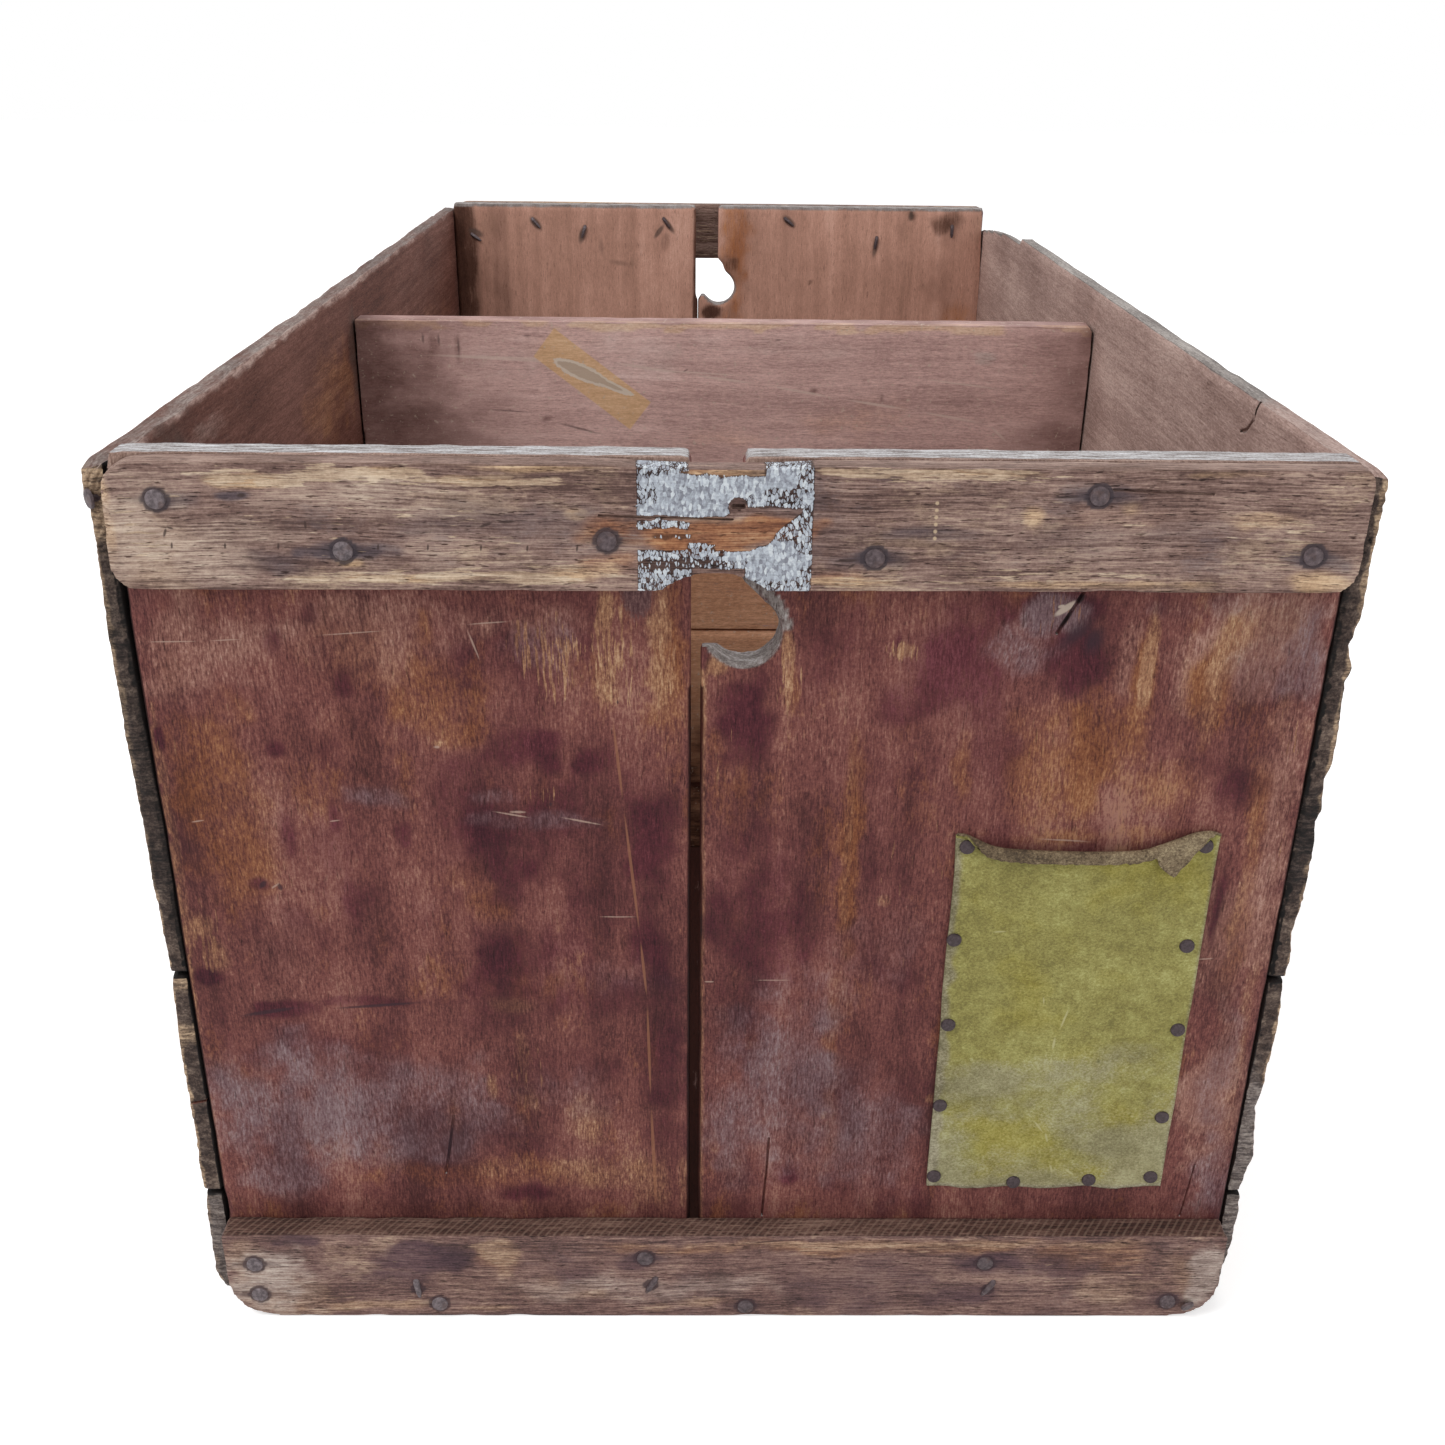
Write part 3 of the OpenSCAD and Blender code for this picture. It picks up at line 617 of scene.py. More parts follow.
def wear_wall(piece, side, seed):
    """Breaks back the front outer edge of a side wall and roughens its split, sawn end."""
    for near in (9.0, 5.0):
        refine(piece, lambda c, n: c[:, 1] < -HALF_L + near)
    refine(piece, lambda c, n: (c[:, 2] > SIDE_H - 5) & (c[:, 2] > 300))
    p, _ = surface(piece)
    low, high = p.min(0), p.max(0)
    low[0], high[0] = -199.5, 199.5
    reach = p[:, 0] * side
    worn = np.interp(p[:, 2], *zip(*EDGE_WEAR[side]))
    gap = np.interp(p[:, 2], *zip(*GAPS[side]))
    near_end = np.clip(1 - (p[:, 1] + HALF_L) / 22, 0, 1) ** 1.5
    out = np.clip((reach - HALF_W) / (SIDE_T - 1.2), 0, 1)
    teeth = ripple(p, (7, 6, 2.4), seed + 1)
    broken = HALF_W + gap + out * (SIDE_T + 0.2 - gap - worn + 0.3 * teeth)
    p[:, 0] += side * near_end * (broken - reach)
    front = np.clip(1 - (p[:, 1] + HALF_L) / 5, 0, 1)
    slant = p[:, 2] + (1.0 if side < 0 else 0.15) * side * p[:, 0]
    wave = slant / (2.9 if side < 0 else 6.5) + 1.6 * ripple(p, (9, 30, 7), seed + 2)
    cords = np.abs(np.mod(wave, 1) - 0.5) * 2
    pits = 1 + 0.6 * ripple(p, (2.0, 30, 1.5), seed + 3) + 0.5 * ripple(p, (5.0, 30, 2.4), seed + 6)
    p[:, 1] += front * ((0.12 + 0.5 * smooth(p[:, 2], 294, 304)) * (1 - cords) ** 2 + 0.7 * pits)
    p[:, 2] -= 3.4 * out * np.clip(1 - (p[:, 1] + HALF_L) / 11, 0, 1) ** 2 * smooth(p[:, 2], 320, SIDE_H)
    top = smooth(p[:, 2], SIDE_H - 3, SIDE_H)
    ragged = 0.5 + 0.5 * ripple(p, (5, 26, 40), seed + 4) + 0.25 * ripple(p, (2.5, 9, 40), seed + 5)
    p[:, 2] -= top * np.clip(ragged, 0, 2) * (1.6 - out * 1.1 if side < 0 else 0.5)
    write(piece, np.clip(p, low, high))


END_BOARDS = {}
for end, pitch in (("front", 1.5), ("back", 2.1)):
    END_BOARDS[end] = (board(end + "_left_board", pitch, end_shape(end, False)),
                       board(end + "_right_board", pitch, end_shape(end, True)))

front_left, front_right = END_BOARDS["front"]
back_left, back_right = END_BOARDS["back"]

# The left board's foot stands a little away from the side wall.
p, _ = surface(front_left)
opening = 0.8 * smooth(p[:, 2], 38, 44) * (1 - smooth(p[:, 2], 48, 56))
p[:, 0] += opening * np.clip(1 - (p[:, 0] + HALF_W) / 6, 0, 1)
write(front_left, p)

# The back right board's outer corner is rounded.
p, _ = surface(back_right)
over_x, over_z = np.clip(p[:, 0] - HALF_W + 5, 0, None), np.clip(p[:, 2] - END_H + 3, 0, None)
pull = np.clip(np.hypot(over_x / 5, over_z / 3), 1, None)
p[:, 0] = np.where(pull > 1, HALF_W - 5 + over_x / pull, p[:, 0])
p[:, 2] = np.where(pull > 1, END_H - 3 + over_z / pull, p[:, 2])
write(back_right, p)

# Below the slot the back boards meet at mid-thickness; only their arrises are worn away.
for piece, way, edge in ((back_left, 1, SEAMS["back"]), (back_right, -1, SEAMS["back"] + 3)):
    p, _ = surface(piece)
    near = np.clip(1 - way * (edge - p[:, 0]) / 3, 0, 1) * (1 - smooth(p[:, 2], 271, 275.5))
    across = 2 * (p[:, 1] - HALF_L + END_T) / END_T - 1
    p[:, 0] += way * near * 1.45 * np.clip(1 - across**4, 0, 1)
    write(piece, p)

for i, piece in enumerate((front_left, front_right, back_left, back_right)):
    weather(piece, 2, 11 + 7 * i, relief=0.16, sway=0.25, chips=0.3, chip_size=6, reach=3)
    # Their sawn tops stay level.
    p, n = surface(piece)
    level = END_H - 0.3 + 0.25 * ripple(p, (7, 30, 30), 90 + i)
    p[:, 2] = np.where((n[:, 2] > 0.6) & (p[:, 2] > END_H - 3), np.maximum(p[:, 2], level), p[:, 2])
    write(piece, p)

# The back right board has shrunk away from its side wall near the top, on its inner half.
p, n = surface(back_right)
shrunk = 1.8 * smooth(p[:, 2], 282, 338) * (1 - smooth(p[:, 1], 343, 346))
outer = (n[:, 0] > 0.6) & (p[:, 0] > 186) & (p[:, 2] < 334)
p[:, 0] = np.where(outer, HALF_W - 0.1, p[:, 0])
p[:, 0] -= shrunk * np.clip((p[:, 0] - HALF_W + 12) / 12, 0, 1)
write(back_right, p)

BATTENS = {}
for i, (end, top) in enumerate((e, t) for e in ("front", "back") for t in (True, False)):
    node = f"{end}_{'top' if top else 'low'}_batten"
    piece = board(node, 1.1 if end == "front" else 1.9, batten_shape(end, top))
    weather(piece, 0, 51 + 5 * i, relief=0.3, sway=0.3, chips=0.5, chip_size=5, reach=3)
    BATTENS[node] = piece
hollow_top(BATTENS["front_top_batten"])

# The upper front batten sags a little to the left, and its left end droops.
p, _ = surface(BATTENS["front_top_batten"])
p[:, 2] += (0.0044 * p[:, 0] - 0.2) * (1 - smooth(p[:, 2], 312, 334))
p[:, 2] -= 2.6 * np.clip(-(p[:, 0] + HALF_W - 17) / 17, 0, 1) ** 2 * smooth(p[:, 2], 322, 336)
write(BATTENS["front_top_batten"], p)

WALLS = {}
for side, word in ((-1, "left"), (1, "right")):
    for level, part in enumerate(("low", "middle", "top")):
        node = f"{word}_side_{part}_board"
        piece = board(node, 2.2 if level == 2 else 2.7, wall_shape(side, level))
        seed = 83 + 9 * level + side
        weather(piece, 1, seed, relief=0.25, sway=0.35, chips=0.9 if level == 2 and side < 0 else 0.4, chip_size=9)
        wear_wall(piece, side, seed + 40)
        WALLS[node] = piece

PARTITION = [board("partition_low_board", 2.6), board("partition_top_board", 2.2, lambda piece, low, high: round_off(
    piece, 3.0, lambda m, w: at(m[:, 0], high[0]) & at(m[:, 2], high[2]) & (w[:, 1] > 5)))]
for i, piece in enumerate(PARTITION):
    weather(piece, 0, 151 + i, relief=0.12, sway=0.3, chips=0.7, chip_size=8)

PLANKS = [board(f"bottom_{word}_plank", 3.4) for word in ("left", "middle", "right")]
for i, piece in enumerate(PLANKS):
    weather(piece, 1, 161 + i, relief=0.3, sway=0.5, chips=0.6, chip_size=10)

# Cracks: the right end board's foot, the upper batten beside its fifth nail, and the right wall.
groove(front_right, ((15.3, 79), (14.7, 64), (13.4, 42)), 0.55, 1.3)
groove(front_right, ((174.4, 42), (176.7, 67)), 0.45, 0.8)
groove(front_right, ((109.4, 297), (107, 291.8), (102, 282)), 0.7, 1.2)
groove(front_left, ((-101.5, 89), (-103.5, 76), (-106, 62.5)), 0.7, 0.8)
groove(BATTENS["front_top_batten"], ((112, 331.6), (126, 331), (142, 330.4)), 0.6, 1.2)
groove(BATTENS["front_top_batten"], ((-42, 322.3), (-24, 321.8), (-2, 321.4)), 0.5, 1.0)
groove(BATTENS["front_top_batten"], ((-1.6, 325.4), (1.2, 325.4)), 1.0, 2.8)
groove(WALLS["left_side_middle_board"], ((-191, 95.5), (-196, 94.5), (-200, 94)), 0.5, 1.6)
groove(WALLS["right_side_top_board"], ((-254, 336), (-252, 328), (-246, 322), (-240, 320)), 0.9, 1.2, (1, 2),
       (-1, 0, 0))


# Stains, wear, dirt and painted shade, at their places on the boards

ALL_BOARDS = [*END_BOARDS["front"], *END_BOARDS["back"], *BATTENS.values(), *WALLS.values(),
              *PARTITION, *PLANKS]
for piece in ALL_BOARDS:
    for channel in CHANNELS:
        lay_on(piece, channel, 0.0)
    only(piece)
    bpy.ops.object.shade_smooth_by_angle(angle=math.radians(50))

paint(front_left, "warm", [
    (-172, 226, 16, 32, 0.6), (-172, 196, 16, 26, 0.5), (-98, 256, 17, 17, 0.55), (-118, 272, 22, 14, 0.35),
    (-98, 281, 3, 8, 0.7), (-88, 180, 12, 10, 0.5), (-92, 192, 10, 8, 0.35), (-95, 62, 40, 9, 0.4),
    (-60, 228, 12, 9, 0.2), (-130, 235, 18, 22, 0.2), (-41, 262, 7, 16, 0.4),
    (-21, 268, 7, 28, 0.7),
], facing=FRONT)
paint(front_left, "stain_and_shade", [
    (-70, 240, 13, 12, 0.85), (-76, 200, 22, 20, 0.75), (-47, 236, 7, 6, 0.85), (-60, 214, 24, 20, 0.5),
    (-27, 205, 11, 28, 0.75), (-40, 190, 24, 28, 0.35), (-149, 239, 4, 4, 0.8), (-150, 206, 4, 12, 0.6),
    (-134, 212, 3, 9, 0.6), (-136, 198, 8, 12, 0.4), (-112, 206, 3, 8, 0.7), (-126, 184, 7, 9, 0.5),
    (-147, 276, 4, 7, 0.65), (-125, 263, 4, 7, 0.65), (-134, 286, 4, 5, 0.5), (-87, 274, 6, 5, 0.45),
    (-160, 137, 20, 4.5, 0.85), (-120, 140, 26, 2.5, 0.6), (-146, 121, 34, 12, 0.5), (-82, 140, 14, 20, 0.45),
    (-76, 158, 16, 12, 0.6), (-28, 160, 7, 24, 0.75), (-50, 142, 30, 12, 0.45), (-22, 118, 9, 38, 0.5),
    (-60, 112, 22, 14, 0.35), (-120, 79, 18, 12, 0.3), (-80, 52, 14, 5, 0.7), (-185, 150, 5, 5, 1.0),
    (-187, 243, 2, 5, 0.8), (-163, 188, 5, 4, 0.55), (-152, 172, 12, 9, 0.3), 
    (-62, 268, 12, 14, 0.3), (-155, 66, 4, 4, 0.5), (-80, 80, 2, 3, 0.7), (-88, 160, 2, 2, 0.8),
    (-82, 212, 24, 30, 0.5), (-32, 214, 16, 32, 0.4), (-122, 114, 22, 26, 0.35),
], facing=FRONT)
paint(front_left, "tan", [
    (-41, 288, 3, 11, 0.8), (-25, 284, 5, 14, 0.6), (-40, 262, 5, 11, 0.6), (-23, 262, 5, 12, 0.5),
    (-186, 172, 5, 5, 0.7), (-180, 160, 4, 8, 0.4), (-78, 138, 8, 4, 0.5), (-86, 103, 3, 6, 0.6),
    (-71, 98, 3, 8, 0.5), (-98, 242, 3, 1.5, 0.7), (-52, 85, 8, 14, 0.45), (-30, 60, 12, 18, 0.45),
    (-58, 62, 22, 8, 0.45), (-90, 64, 14, 6, 0.35), (-74, 118, 3, 14, 0.35), (-188, 205, 1.6, 60, 0.5),
    (-17, 60, 2, 14, 0.5), (-60, 218, 2.4, 2.4, 0.35), (-190, 90, 1.5, 46, 0.3),
], facing=FRONT)
paint(front_left, "bare", [
    (-162, 276, 28, 18, 0.6), (-112, 280, 30, 16, 0.6), (-164, 222, 20, 24, 0.3), (-60, 284, 16, 8, 0.4),
    (-158, 158, 22, 22, 0.25), (-50, 80, 36, 26, 0.2),
], facing=FRONT)
paint(front_left, "dusty", [
    (-152, 94, 44, 34, 0.65), (-165, 60, 26, 12, 0.55), (-108, 94, 30, 22, 0.5), (-60, 100, 20, 14, 0.3), (-78, 222, 8, 4, 0.4), (-60, 213, 26, 3.5, 0.35),
    (-120, 222, 12, 5, 0.5), (-148, 255, 6, 6, 0.2), (-60, 277, 14, 10, 0.35), (-45, 150, 24, 10, 0.2),
], facing=FRONT)
paint(front_left, "flake", [
    (-60, 275, 14, 16, 0.7), (-38, 268, 8, 24, 0.8), (-22, 272, 6, 20, 0.8), (-185, 165, 8, 16, 0.7),
    (-72, 103, 8, 20, 0.5), (-186, 240, 6, 10, 0.4), (-62, 222, 6, 6, 0.6),
], facing=FRONT)
paint(front_right, "warm", [
    (40, 200, 4, 48, 0.75), (38, 110, 4, 42, 0.45), (100, 232, 12, 22, 0.6), (122, 238, 16, 26, 0.7),
    (145, 225, 12, 12, 0.45), (132, 265, 4, 26, 0.7), (157, 262, 9, 26, 0.75), (168, 282, 12, 10, 0.35),
    (18, 262, 3, 14, 0.5), (75, 232, 4, 18, 0.4), (62, 214, 8, 8, 0.3), (176, 200, 5, 34, 0.45),
    (178, 146, 6, 34, 0.45), (120, 209, 30, 4, 0.5), (20, 220, 10, 16, 0.2),
], facing=FRONT)
paint(front_right, "stain_and_shade", [
    (2, 248, 10, 14, 0.9), (3, 202, 8, 20, 0.45), (8, 186, 3, 4, 0.7), (-3, 160, 4, 40, 0.45),
    (12, 160, 8, 14, 0.35), (58, 262, 14, 14, 0.6), (45, 236, 22, 12, 0.3), (80, 262, 12, 22, 0.5),
    (112, 272, 9, 9, 0.9), (98, 291, 16, 5, 0.7), (88, 240, 10, 16, 0.4), (168, 226, 10, 9, 0.6),
    (60, 130, 10, 38, 0.25), (14, 120, 20, 28, 0.45), (24, 62, 8, 8, 0.8), (45, 100, 24, 20, 0.3),
    (83, 72, 3, 12, 0.35), (168, 182, 2, 16, 0.6), (158, 236, 8, 6, 0.45), (51, 278, 2, 6, 0.8),
    (120, 286, 6, 9, 0.4), (68, 272, 26, 22, 0.75), (30, 276, 16, 18, 0.3), (14, 172, 24, 32, 0.6),
    (108, 276, 10, 10, 0.9), (114, 268, 9, 9, 0.7),
], facing=FRONT)
paint(front_right, "bare", [
    (166, 278, 26, 22, 1.0), (150, 262, 12, 14, 0.6), (179, 172, 16, 34, 0.75), (179, 98, 14, 30, 1.0),
    (184, 222, 8, 30, 0.6), (30, 76, 30, 18, 0.2), (126, 276, 4, 16, 0.6),
], facing=FRONT)
paint(front_right, "tan", [
    (-6, 272, 3, 6, 0.9), (17, 278, 2.5, 7, 0.8), (17, 260, 1.5, 9, 0.6), (52, 276, 3, 3.5, 1.0),
    (132.5, 272, 2.2, 24, 1.0), (156, 268, 3.5, 20, 0.75), (155, 250, 4, 10, 0.5), (180, 262, 3, 24, 0.4),
    (52, 182, 2.5, 3, 0.6), (35, 90, 1.4, 1.4, 1.0), (75, 98, 2, 3, 0.5), (175, 180, 2, 40, 0.4),
    (186, 120, 3, 60, 0.35), (101, 286, 4, 2, 0.5), (39, 200, 1.6, 44, 0.4), (145, 262, 2, 22, 0.3),
    (166, 268, 2, 24, 0.3), (160, 207, 8, 2, 0.3), (166, 280, 18, 14, 0.4),
], facing=FRONT)
paint(front_right, "dusty", [
    (20, 108, 34, 40, 0.55), (55, 82, 22, 30, 0.5), (0, 82, 12, 30, 0.5), (182, 272, 9, 22, 0.55),
    (182, 62, 9, 22, 0.5), (180, 112, 9, 40, 0.4), (92, 276, 12, 9, 0.45), (150, 291, 26, 5, 0.35),
    (50, 160, 18, 20, 0.25), (172, 275, 14, 20, 0.35), (98, 288, 9, 7, 1.0),
], facing=FRONT)
paint(front_right, "flake", [
    (17, 268, 6, 16, 0.7), (60, 180, 16, 60, 0.25), (-5, 230, 6, 30, 0.35), (183, 230, 6, 50, 0.4),
    (52, 276, 5, 5, 0.8), (100, 288, 8, 8, 0.4),
], facing=FRONT)

# A knot under the upper batten turns the grain aside, and the right board's edge at the seam is laid pale: partly
# rubbed wear, partly a painted highlight.
p, n = surface(front_right)
dx, dz = p[:, 0] - 104, p[:, 2] - 287
lay_on(front_right, "flow", 0.0)
knot = 0.7 * dx * np.exp(-((dx / 13) ** 2) - (dz / 20) ** 2)
layer = front_right.data.attributes["flow"]
layer.data.foreach_set("value", knot.astype(np.float32))
lay_on(front_right, "tan", 0.75 * (1 - smooth(p[:, 0], -10.3, -9.0)) * (n[:, 1] < -0.2) * (p[:, 2] < 268))
# The end boards' outer edges and the seam's side faces are darkened: painted shade in the gaps.
for piece in END_BOARDS["front"]:
    p, n = surface(piece)
    edge = np.maximum(smooth(np.abs(p[:, 0]), 189.2, 190.2), (np.abs(p[:, 0] + 12.8) < 2.4) * (p[:, 2] < 262))
    lay_on(piece, "dirt_and_shade", 1.1 * smooth(np.abs(n[:, 0]), 0.4, 0.75) * edge)

for piece in (front_left, front_right, back_left, back_right):
    p, n = surface(piece)
    side = -1 if piece in END_BOARDS["front"] else 1
    top = smooth(n[:, 2], 0.3, 0.7) * smooth(p[:, 2], END_H - 3, END_H - 1)
    lay_on(piece, "grey", 1.2 * top)
    if side < 0:
        front_half = 1 - smooth(p[:, 1] + 0.8 * ripple(p, (5, 9, 9), 2), -350.4, -348.8)
        lay_on(piece, "rubbed", 1.4 * front_half * smooth(p[:, 2], END_H - 6, END_H - 4))
    lay_on(piece, "bare", 1.6 * smooth(-side * n[:, 1], 0.2, 0.6))
    rise = p[:, 2] - LOW_BATTEN_H + 1.5 * ripple(p, (6, 9, 9), 3) + 2.5 * ripple(p, (19, 9, 9), 4)
    foot = 0.1 * hump(rise, 2, 6, 3) + 0.13 * (1 - smooth(rise, 8, 22))
    lay_on(piece, "dirt_and_shade", foot * (n[:, 1] * side > 0.1))
# The left board's outer edge is splintered pale.
p, n = surface(front_left)
splinters = smooth(p[:, 0] + 1.2 * ripple(p, (9, 9, 4), 13), -190, -188.6)
lay_on(front_left, "tan", 0.9 * (1 - splinters) * hump(p[:, 2], 150, 225, 40) * (n[:, 1] < -0.1))
for end, piece in (("front", front_right), ("back", back_right)):
    p, n = surface(piece)
    away = np.hypot(p[:, 0] - SEAMS[end] - HOLE_FROM_SEAM, p[:, 2] - HOLE_Z)
    lay_on(piece, "grey", 0.8 * (1 - smooth(away, HOLE_R + 0.3, HOLE_R + 1.8)))
p, n = surface(front_right)
rim = gap_to(p[:, [0, 2]], ((2, 301), (6.6, 296.5), (9.8, 294.4), (13.6, 290), (16, 284)))
lay_on(front_right, "grey", 0.85 * (1 - smooth(rim, 1.4, 2.5)) * (n[:, 1] < -0.1))

for piece, spots in (
    (back_left, [(-62, 308, 12, 5, 0.25), (-38, 312, 4, 7, 0.4), (-40, 320, 16, 10, 0.15),
                 (-160, 296, 10, 50, 0.25)]),
    (back_right, [(160, 328, 14, 8, 0.6), (162, 290, 14, 60, 0.3), (138, 333, 3, 4, 0.6), (130, 320, 4, 10, 0.25),
                  (50, 300, 7, 50, 0.25), (150, 284, 6, 6, 0.3), (67, 285, 2, 2, 0.6), (-5, 264, 9, 6, 0.9),
                  (9, 299, 6, 7, 0.6)]),
):
    paint(piece, "stain_and_shade", spots, facing=FRONT)
# Painted shade on the back left board's inside: a dark band down its left end, where the left wall shades it, and a
# dark line by the slot, where the gap lies in shadow.
p, n = surface(back_left)
band = p[:, 0] + HALF_W + 4 * ripple(p, (9, 9, 70), 5)
shade = 1.1 * (1 - smooth(band, 5, 20)) + 0.3 * hump(band, 27, 36, 6) + smooth(p[:, 0], -18.4, -17.6)
lay_on(back_left, "stain_and_shade", shade * (n[:, 1] < -0.1))
paint(back_right, "warm", [(13, 318, 10, 40, 0.6), (9, 280, 9, 30, 0.5), (176, 265, 14, 12, 0.5)], facing=FRONT)
paint(back_left, "warm", [(-75, 306, 22, 12, 0.15), (-120, 270, 30, 20, 0.15)], facing=FRONT)
for piece in END_BOARDS["back"]:
    p, n = surface(piece)
    edge = smooth(p[:, 2] + 1.2 * ripple(p, (9, 9, 3), 8), 335.4, 336.8)
    lay_on(piece, "tan", (0.5 + 0.5 * smooth(p[:, 0], 20, 70)) * edge * (n[:, 1] < -0.1))

top_batten = BATTENS["front_top_batten"]
paint(top_batten, "tan", [
    (-178, 310, 12, 20, 0.7), (-105, 335, 9, 1.6, 0.9), (-145, 333, 16, 2.5, 0.8), (-75, 333, 22, 1.5, 0.8),
    (-117, 307.5, 4, 2.2, 1.0), (-52, 304, 14, 3, 0.8), (-100, 302, 22, 1.4, 0.8), (-60, 337, 20, 1.5, 0.7),
    (-50, 322.5, 3.5, 2, 0.8), (35, 302, 18, 2, 0.7), (60, 336.5, 30, 1.5, 0.8), (150, 336.5, 18, 1.5, 0.5),
    (156, 322, 12, 3, 0.5), (88, 323, 4, 4, 0.5), (178, 303, 10, 4, 0.7), (-190, 318, 3, 20, 0.8),
    (118, 326, 4, 3, 0.5), (105, 301.5, 40, 1.5, 0.6), (0, 336, 26, 2, 0.5),
], facing=FRONT)
paint(top_batten, "stain_and_shade", [
    (-80, 320, 38, 9, 0.45), (-174, 326, 13, 3.5, 0.7), (-119, 311, 18, 3.5, 0.75), (-40, 314, 12, 5, 0.6),
    (41.6, 309.6, 13, 4, 0.7), (108, 329.6, 15, 3.5, 0.75), (175, 311.3, 10, 4.5, 0.75), (-140, 307, 16, 5, 0.5),
    (60, 317, 16, 3, 0.5), (45, 336, 8, 3, 0.6), (-150, 328, 5, 1.5, 0.9), (10, 327, 4, 3, 0.3),
    (140, 318, 18, 4, 0.35), (20, 318, 40, 10, 0.25), (110, 315, 60, 9, 0.25),
], facing=FRONT)
paint(top_batten, "dusty", [
    (-180, 312, 16, 22, 0.8), (-162, 308, 16, 12, 0.7), (-110, 327, 30, 8, 0.4), (-150, 318, 18, 6, 0.4),
    (185, 315, 8, 20, 0.2), (-80, 306, 30, 8, 0.3),
], facing=FRONT)
paint(top_batten, "warm", [
    (-22, 316, 22, 5, 1.0), (2, 318, 18, 5, 1.1), (12, 320, 12, 4, 1.0), (-6, 336.5, 12, 2.5, 0.9),
    (-44, 317, 12, 5, 0.8), (-40, 306, 14, 5, 0.4), (-6, 312, 18, 2, 0.9), (30, 303, 10, 3, 0.4),
    (120, 322, 30, 6, 0.2),
], facing=FRONT)
paint(top_batten, "flake", [
    (-130, 334, 44, 3, 1.1), (-70, 333, 30, 2, 1.1), (-90, 302, 52, 2.6, 0.9), (60, 336, 34, 2.4, 1.0),
    (-178, 316, 12, 20, 0.45), (40, 302, 24, 2.6, 0.6), (165, 318, 20, 12, 0.35), (-60, 306, 20, 4, 0.6),
    (100, 318, 60, 12, 0.2), (-120, 318, 50, 9, 0.3), (80, 304, 50, 3, 0.5),
], facing=FRONT)
p, n = surface(top_batten)
lay_on(top_batten, "rubbed", 1.3 * smooth(n[:, 2], 0.2, 0.6) * smooth(p[:, 2], 333, 336)
       * (1 - hump(p[:, 0], -20, 6, 4)))

low_batten = BATTENS["front_low_batten"]
paint(low_batten, "tan", [
    (-182, 20, 10, 18, 0.6), (-140, 5, 32, 2.6, 0.7), (-88, 33, 9, 7, 0.7), (-85, 22, 4, 5, 0.5),
    (-52, 11, 12, 3, 0.5), (80, 36, 110, 2.2, 0.6), (180, 22, 10, 14, 0.45), (-10, 7, 12, 3, 0.5),
    (150, 14, 26, 12, 0.45), (-28, 5, 8, 3, 0.5), (-93, 4, 12, 2, 0.5), (-172, 10, 20, 14, 0.6),
    (-80, 14, 36, 10, 0.3),
], facing=FRONT)
paint(low_batten, "stain_and_shade", [
    (-114, 27, 16, 8, 0.95), (-126, 19, 10, 5, 0.7), (-163, 38, 9, 3, 0.9), (-31, 27, 10, 6, 0.6),
    (99, 26, 16, 6, 0.85), (92, 12, 20, 6, 0.7), (30, 18, 18, 10, 0.4), (130, 26, 18, 6, 0.5),
    (-60, 24, 14, 8, 0.4), (55, 16, 34, 12, 0.5), (-150, 22, 16, 8, 0.3), (172, 9, 8, 5, 0.5),
], facing=FRONT)
paint(low_batten, "dusty", [
    (-176, 16, 18, 18, 0.7), (150, 12, 34, 9, 0.2), (-40, 14, 60, 9, 0.35), (186, 20, 8, 18, 0.9),
], facing=FRONT)
paint(low_batten, "warm", [(60, 35, 120, 4, 0.5), (-88, 30, 10, 8, 0.4), (150, 30, 30, 8, 0.4)], facing=FRONT)
paint(low_batten, "flake", [
    (-88, 33, 10, 8, 0.9), (-140, 6, 40, 4, 0.5), (60, 35, 90, 4, 0.5), (-30, 8, 22, 5, 0.4),
    (150, 20, 36, 12, 0.3),
], facing=FRONT)
for end in ("front", "back"):
    piece = BATTENS[end + "_low_batten"]
    p, n = surface(piece)
    lay_on(piece, "grey", 1.5 * smooth(n[:, 2], 0.3, 0.8))
for part in ("top", "low"):
    piece = BATTENS[f"back_{part}_batten"]
    p, n = surface(piece)
    inside = n[:, 1] < -0.3
    lay_on(piece, "flake", 0.4 + 0.4 * ripple(p, (60, 9, 5), 7))
    lay_on(piece, "stain_and_shade", 0.6 * smooth(ripple(p, (44, 20, 14), 9), 0.0, 0.6) * (n[:, 1] > 0))
    lay_on(piece, "rubbed", 1.5 * inside)
    lay_on(piece, "dusty", 0.8 * inside)
    # Low on the inner faces: partly dirt, partly painted shade.
    lay_on(piece, "dirt_and_shade", 0.4 * inside * (1 - smooth(p[:, 2], 304, 308)))
    lay_on(piece, "tan", 0.6 * smooth(ripple(p, (38, 20, 9), 12), 0.2, 0.7) * (n[:, 1] > -0.3))

for i, piece in enumerate((back_left, back_right)):
    p, n = surface(piece)
    outside = n[:, 1] > 0.2
    lay_on(piece, "stain_and_shade", 0.75 * smooth(ripple(p, (34, 40, 44), 21 + i), 0.1, 0.7) * outside)
    lay_on(piece, "warm", 0.7 * smooth(ripple(p, (26, 40, 60), 31 + i), 0.15, 0.7) * outside)
    lay_on(piece, "dusty", 0.6 * smooth(ripple(p, (60, 40, 52), 41 + i) - (p[:, 2] - 110) / 200, 0.1, 0.8) * outside)
    lay_on(piece, "tan", 0.5 * smooth(ripple(p, (7, 40, 50), 51 + i), 0.35, 0.8) * outside)

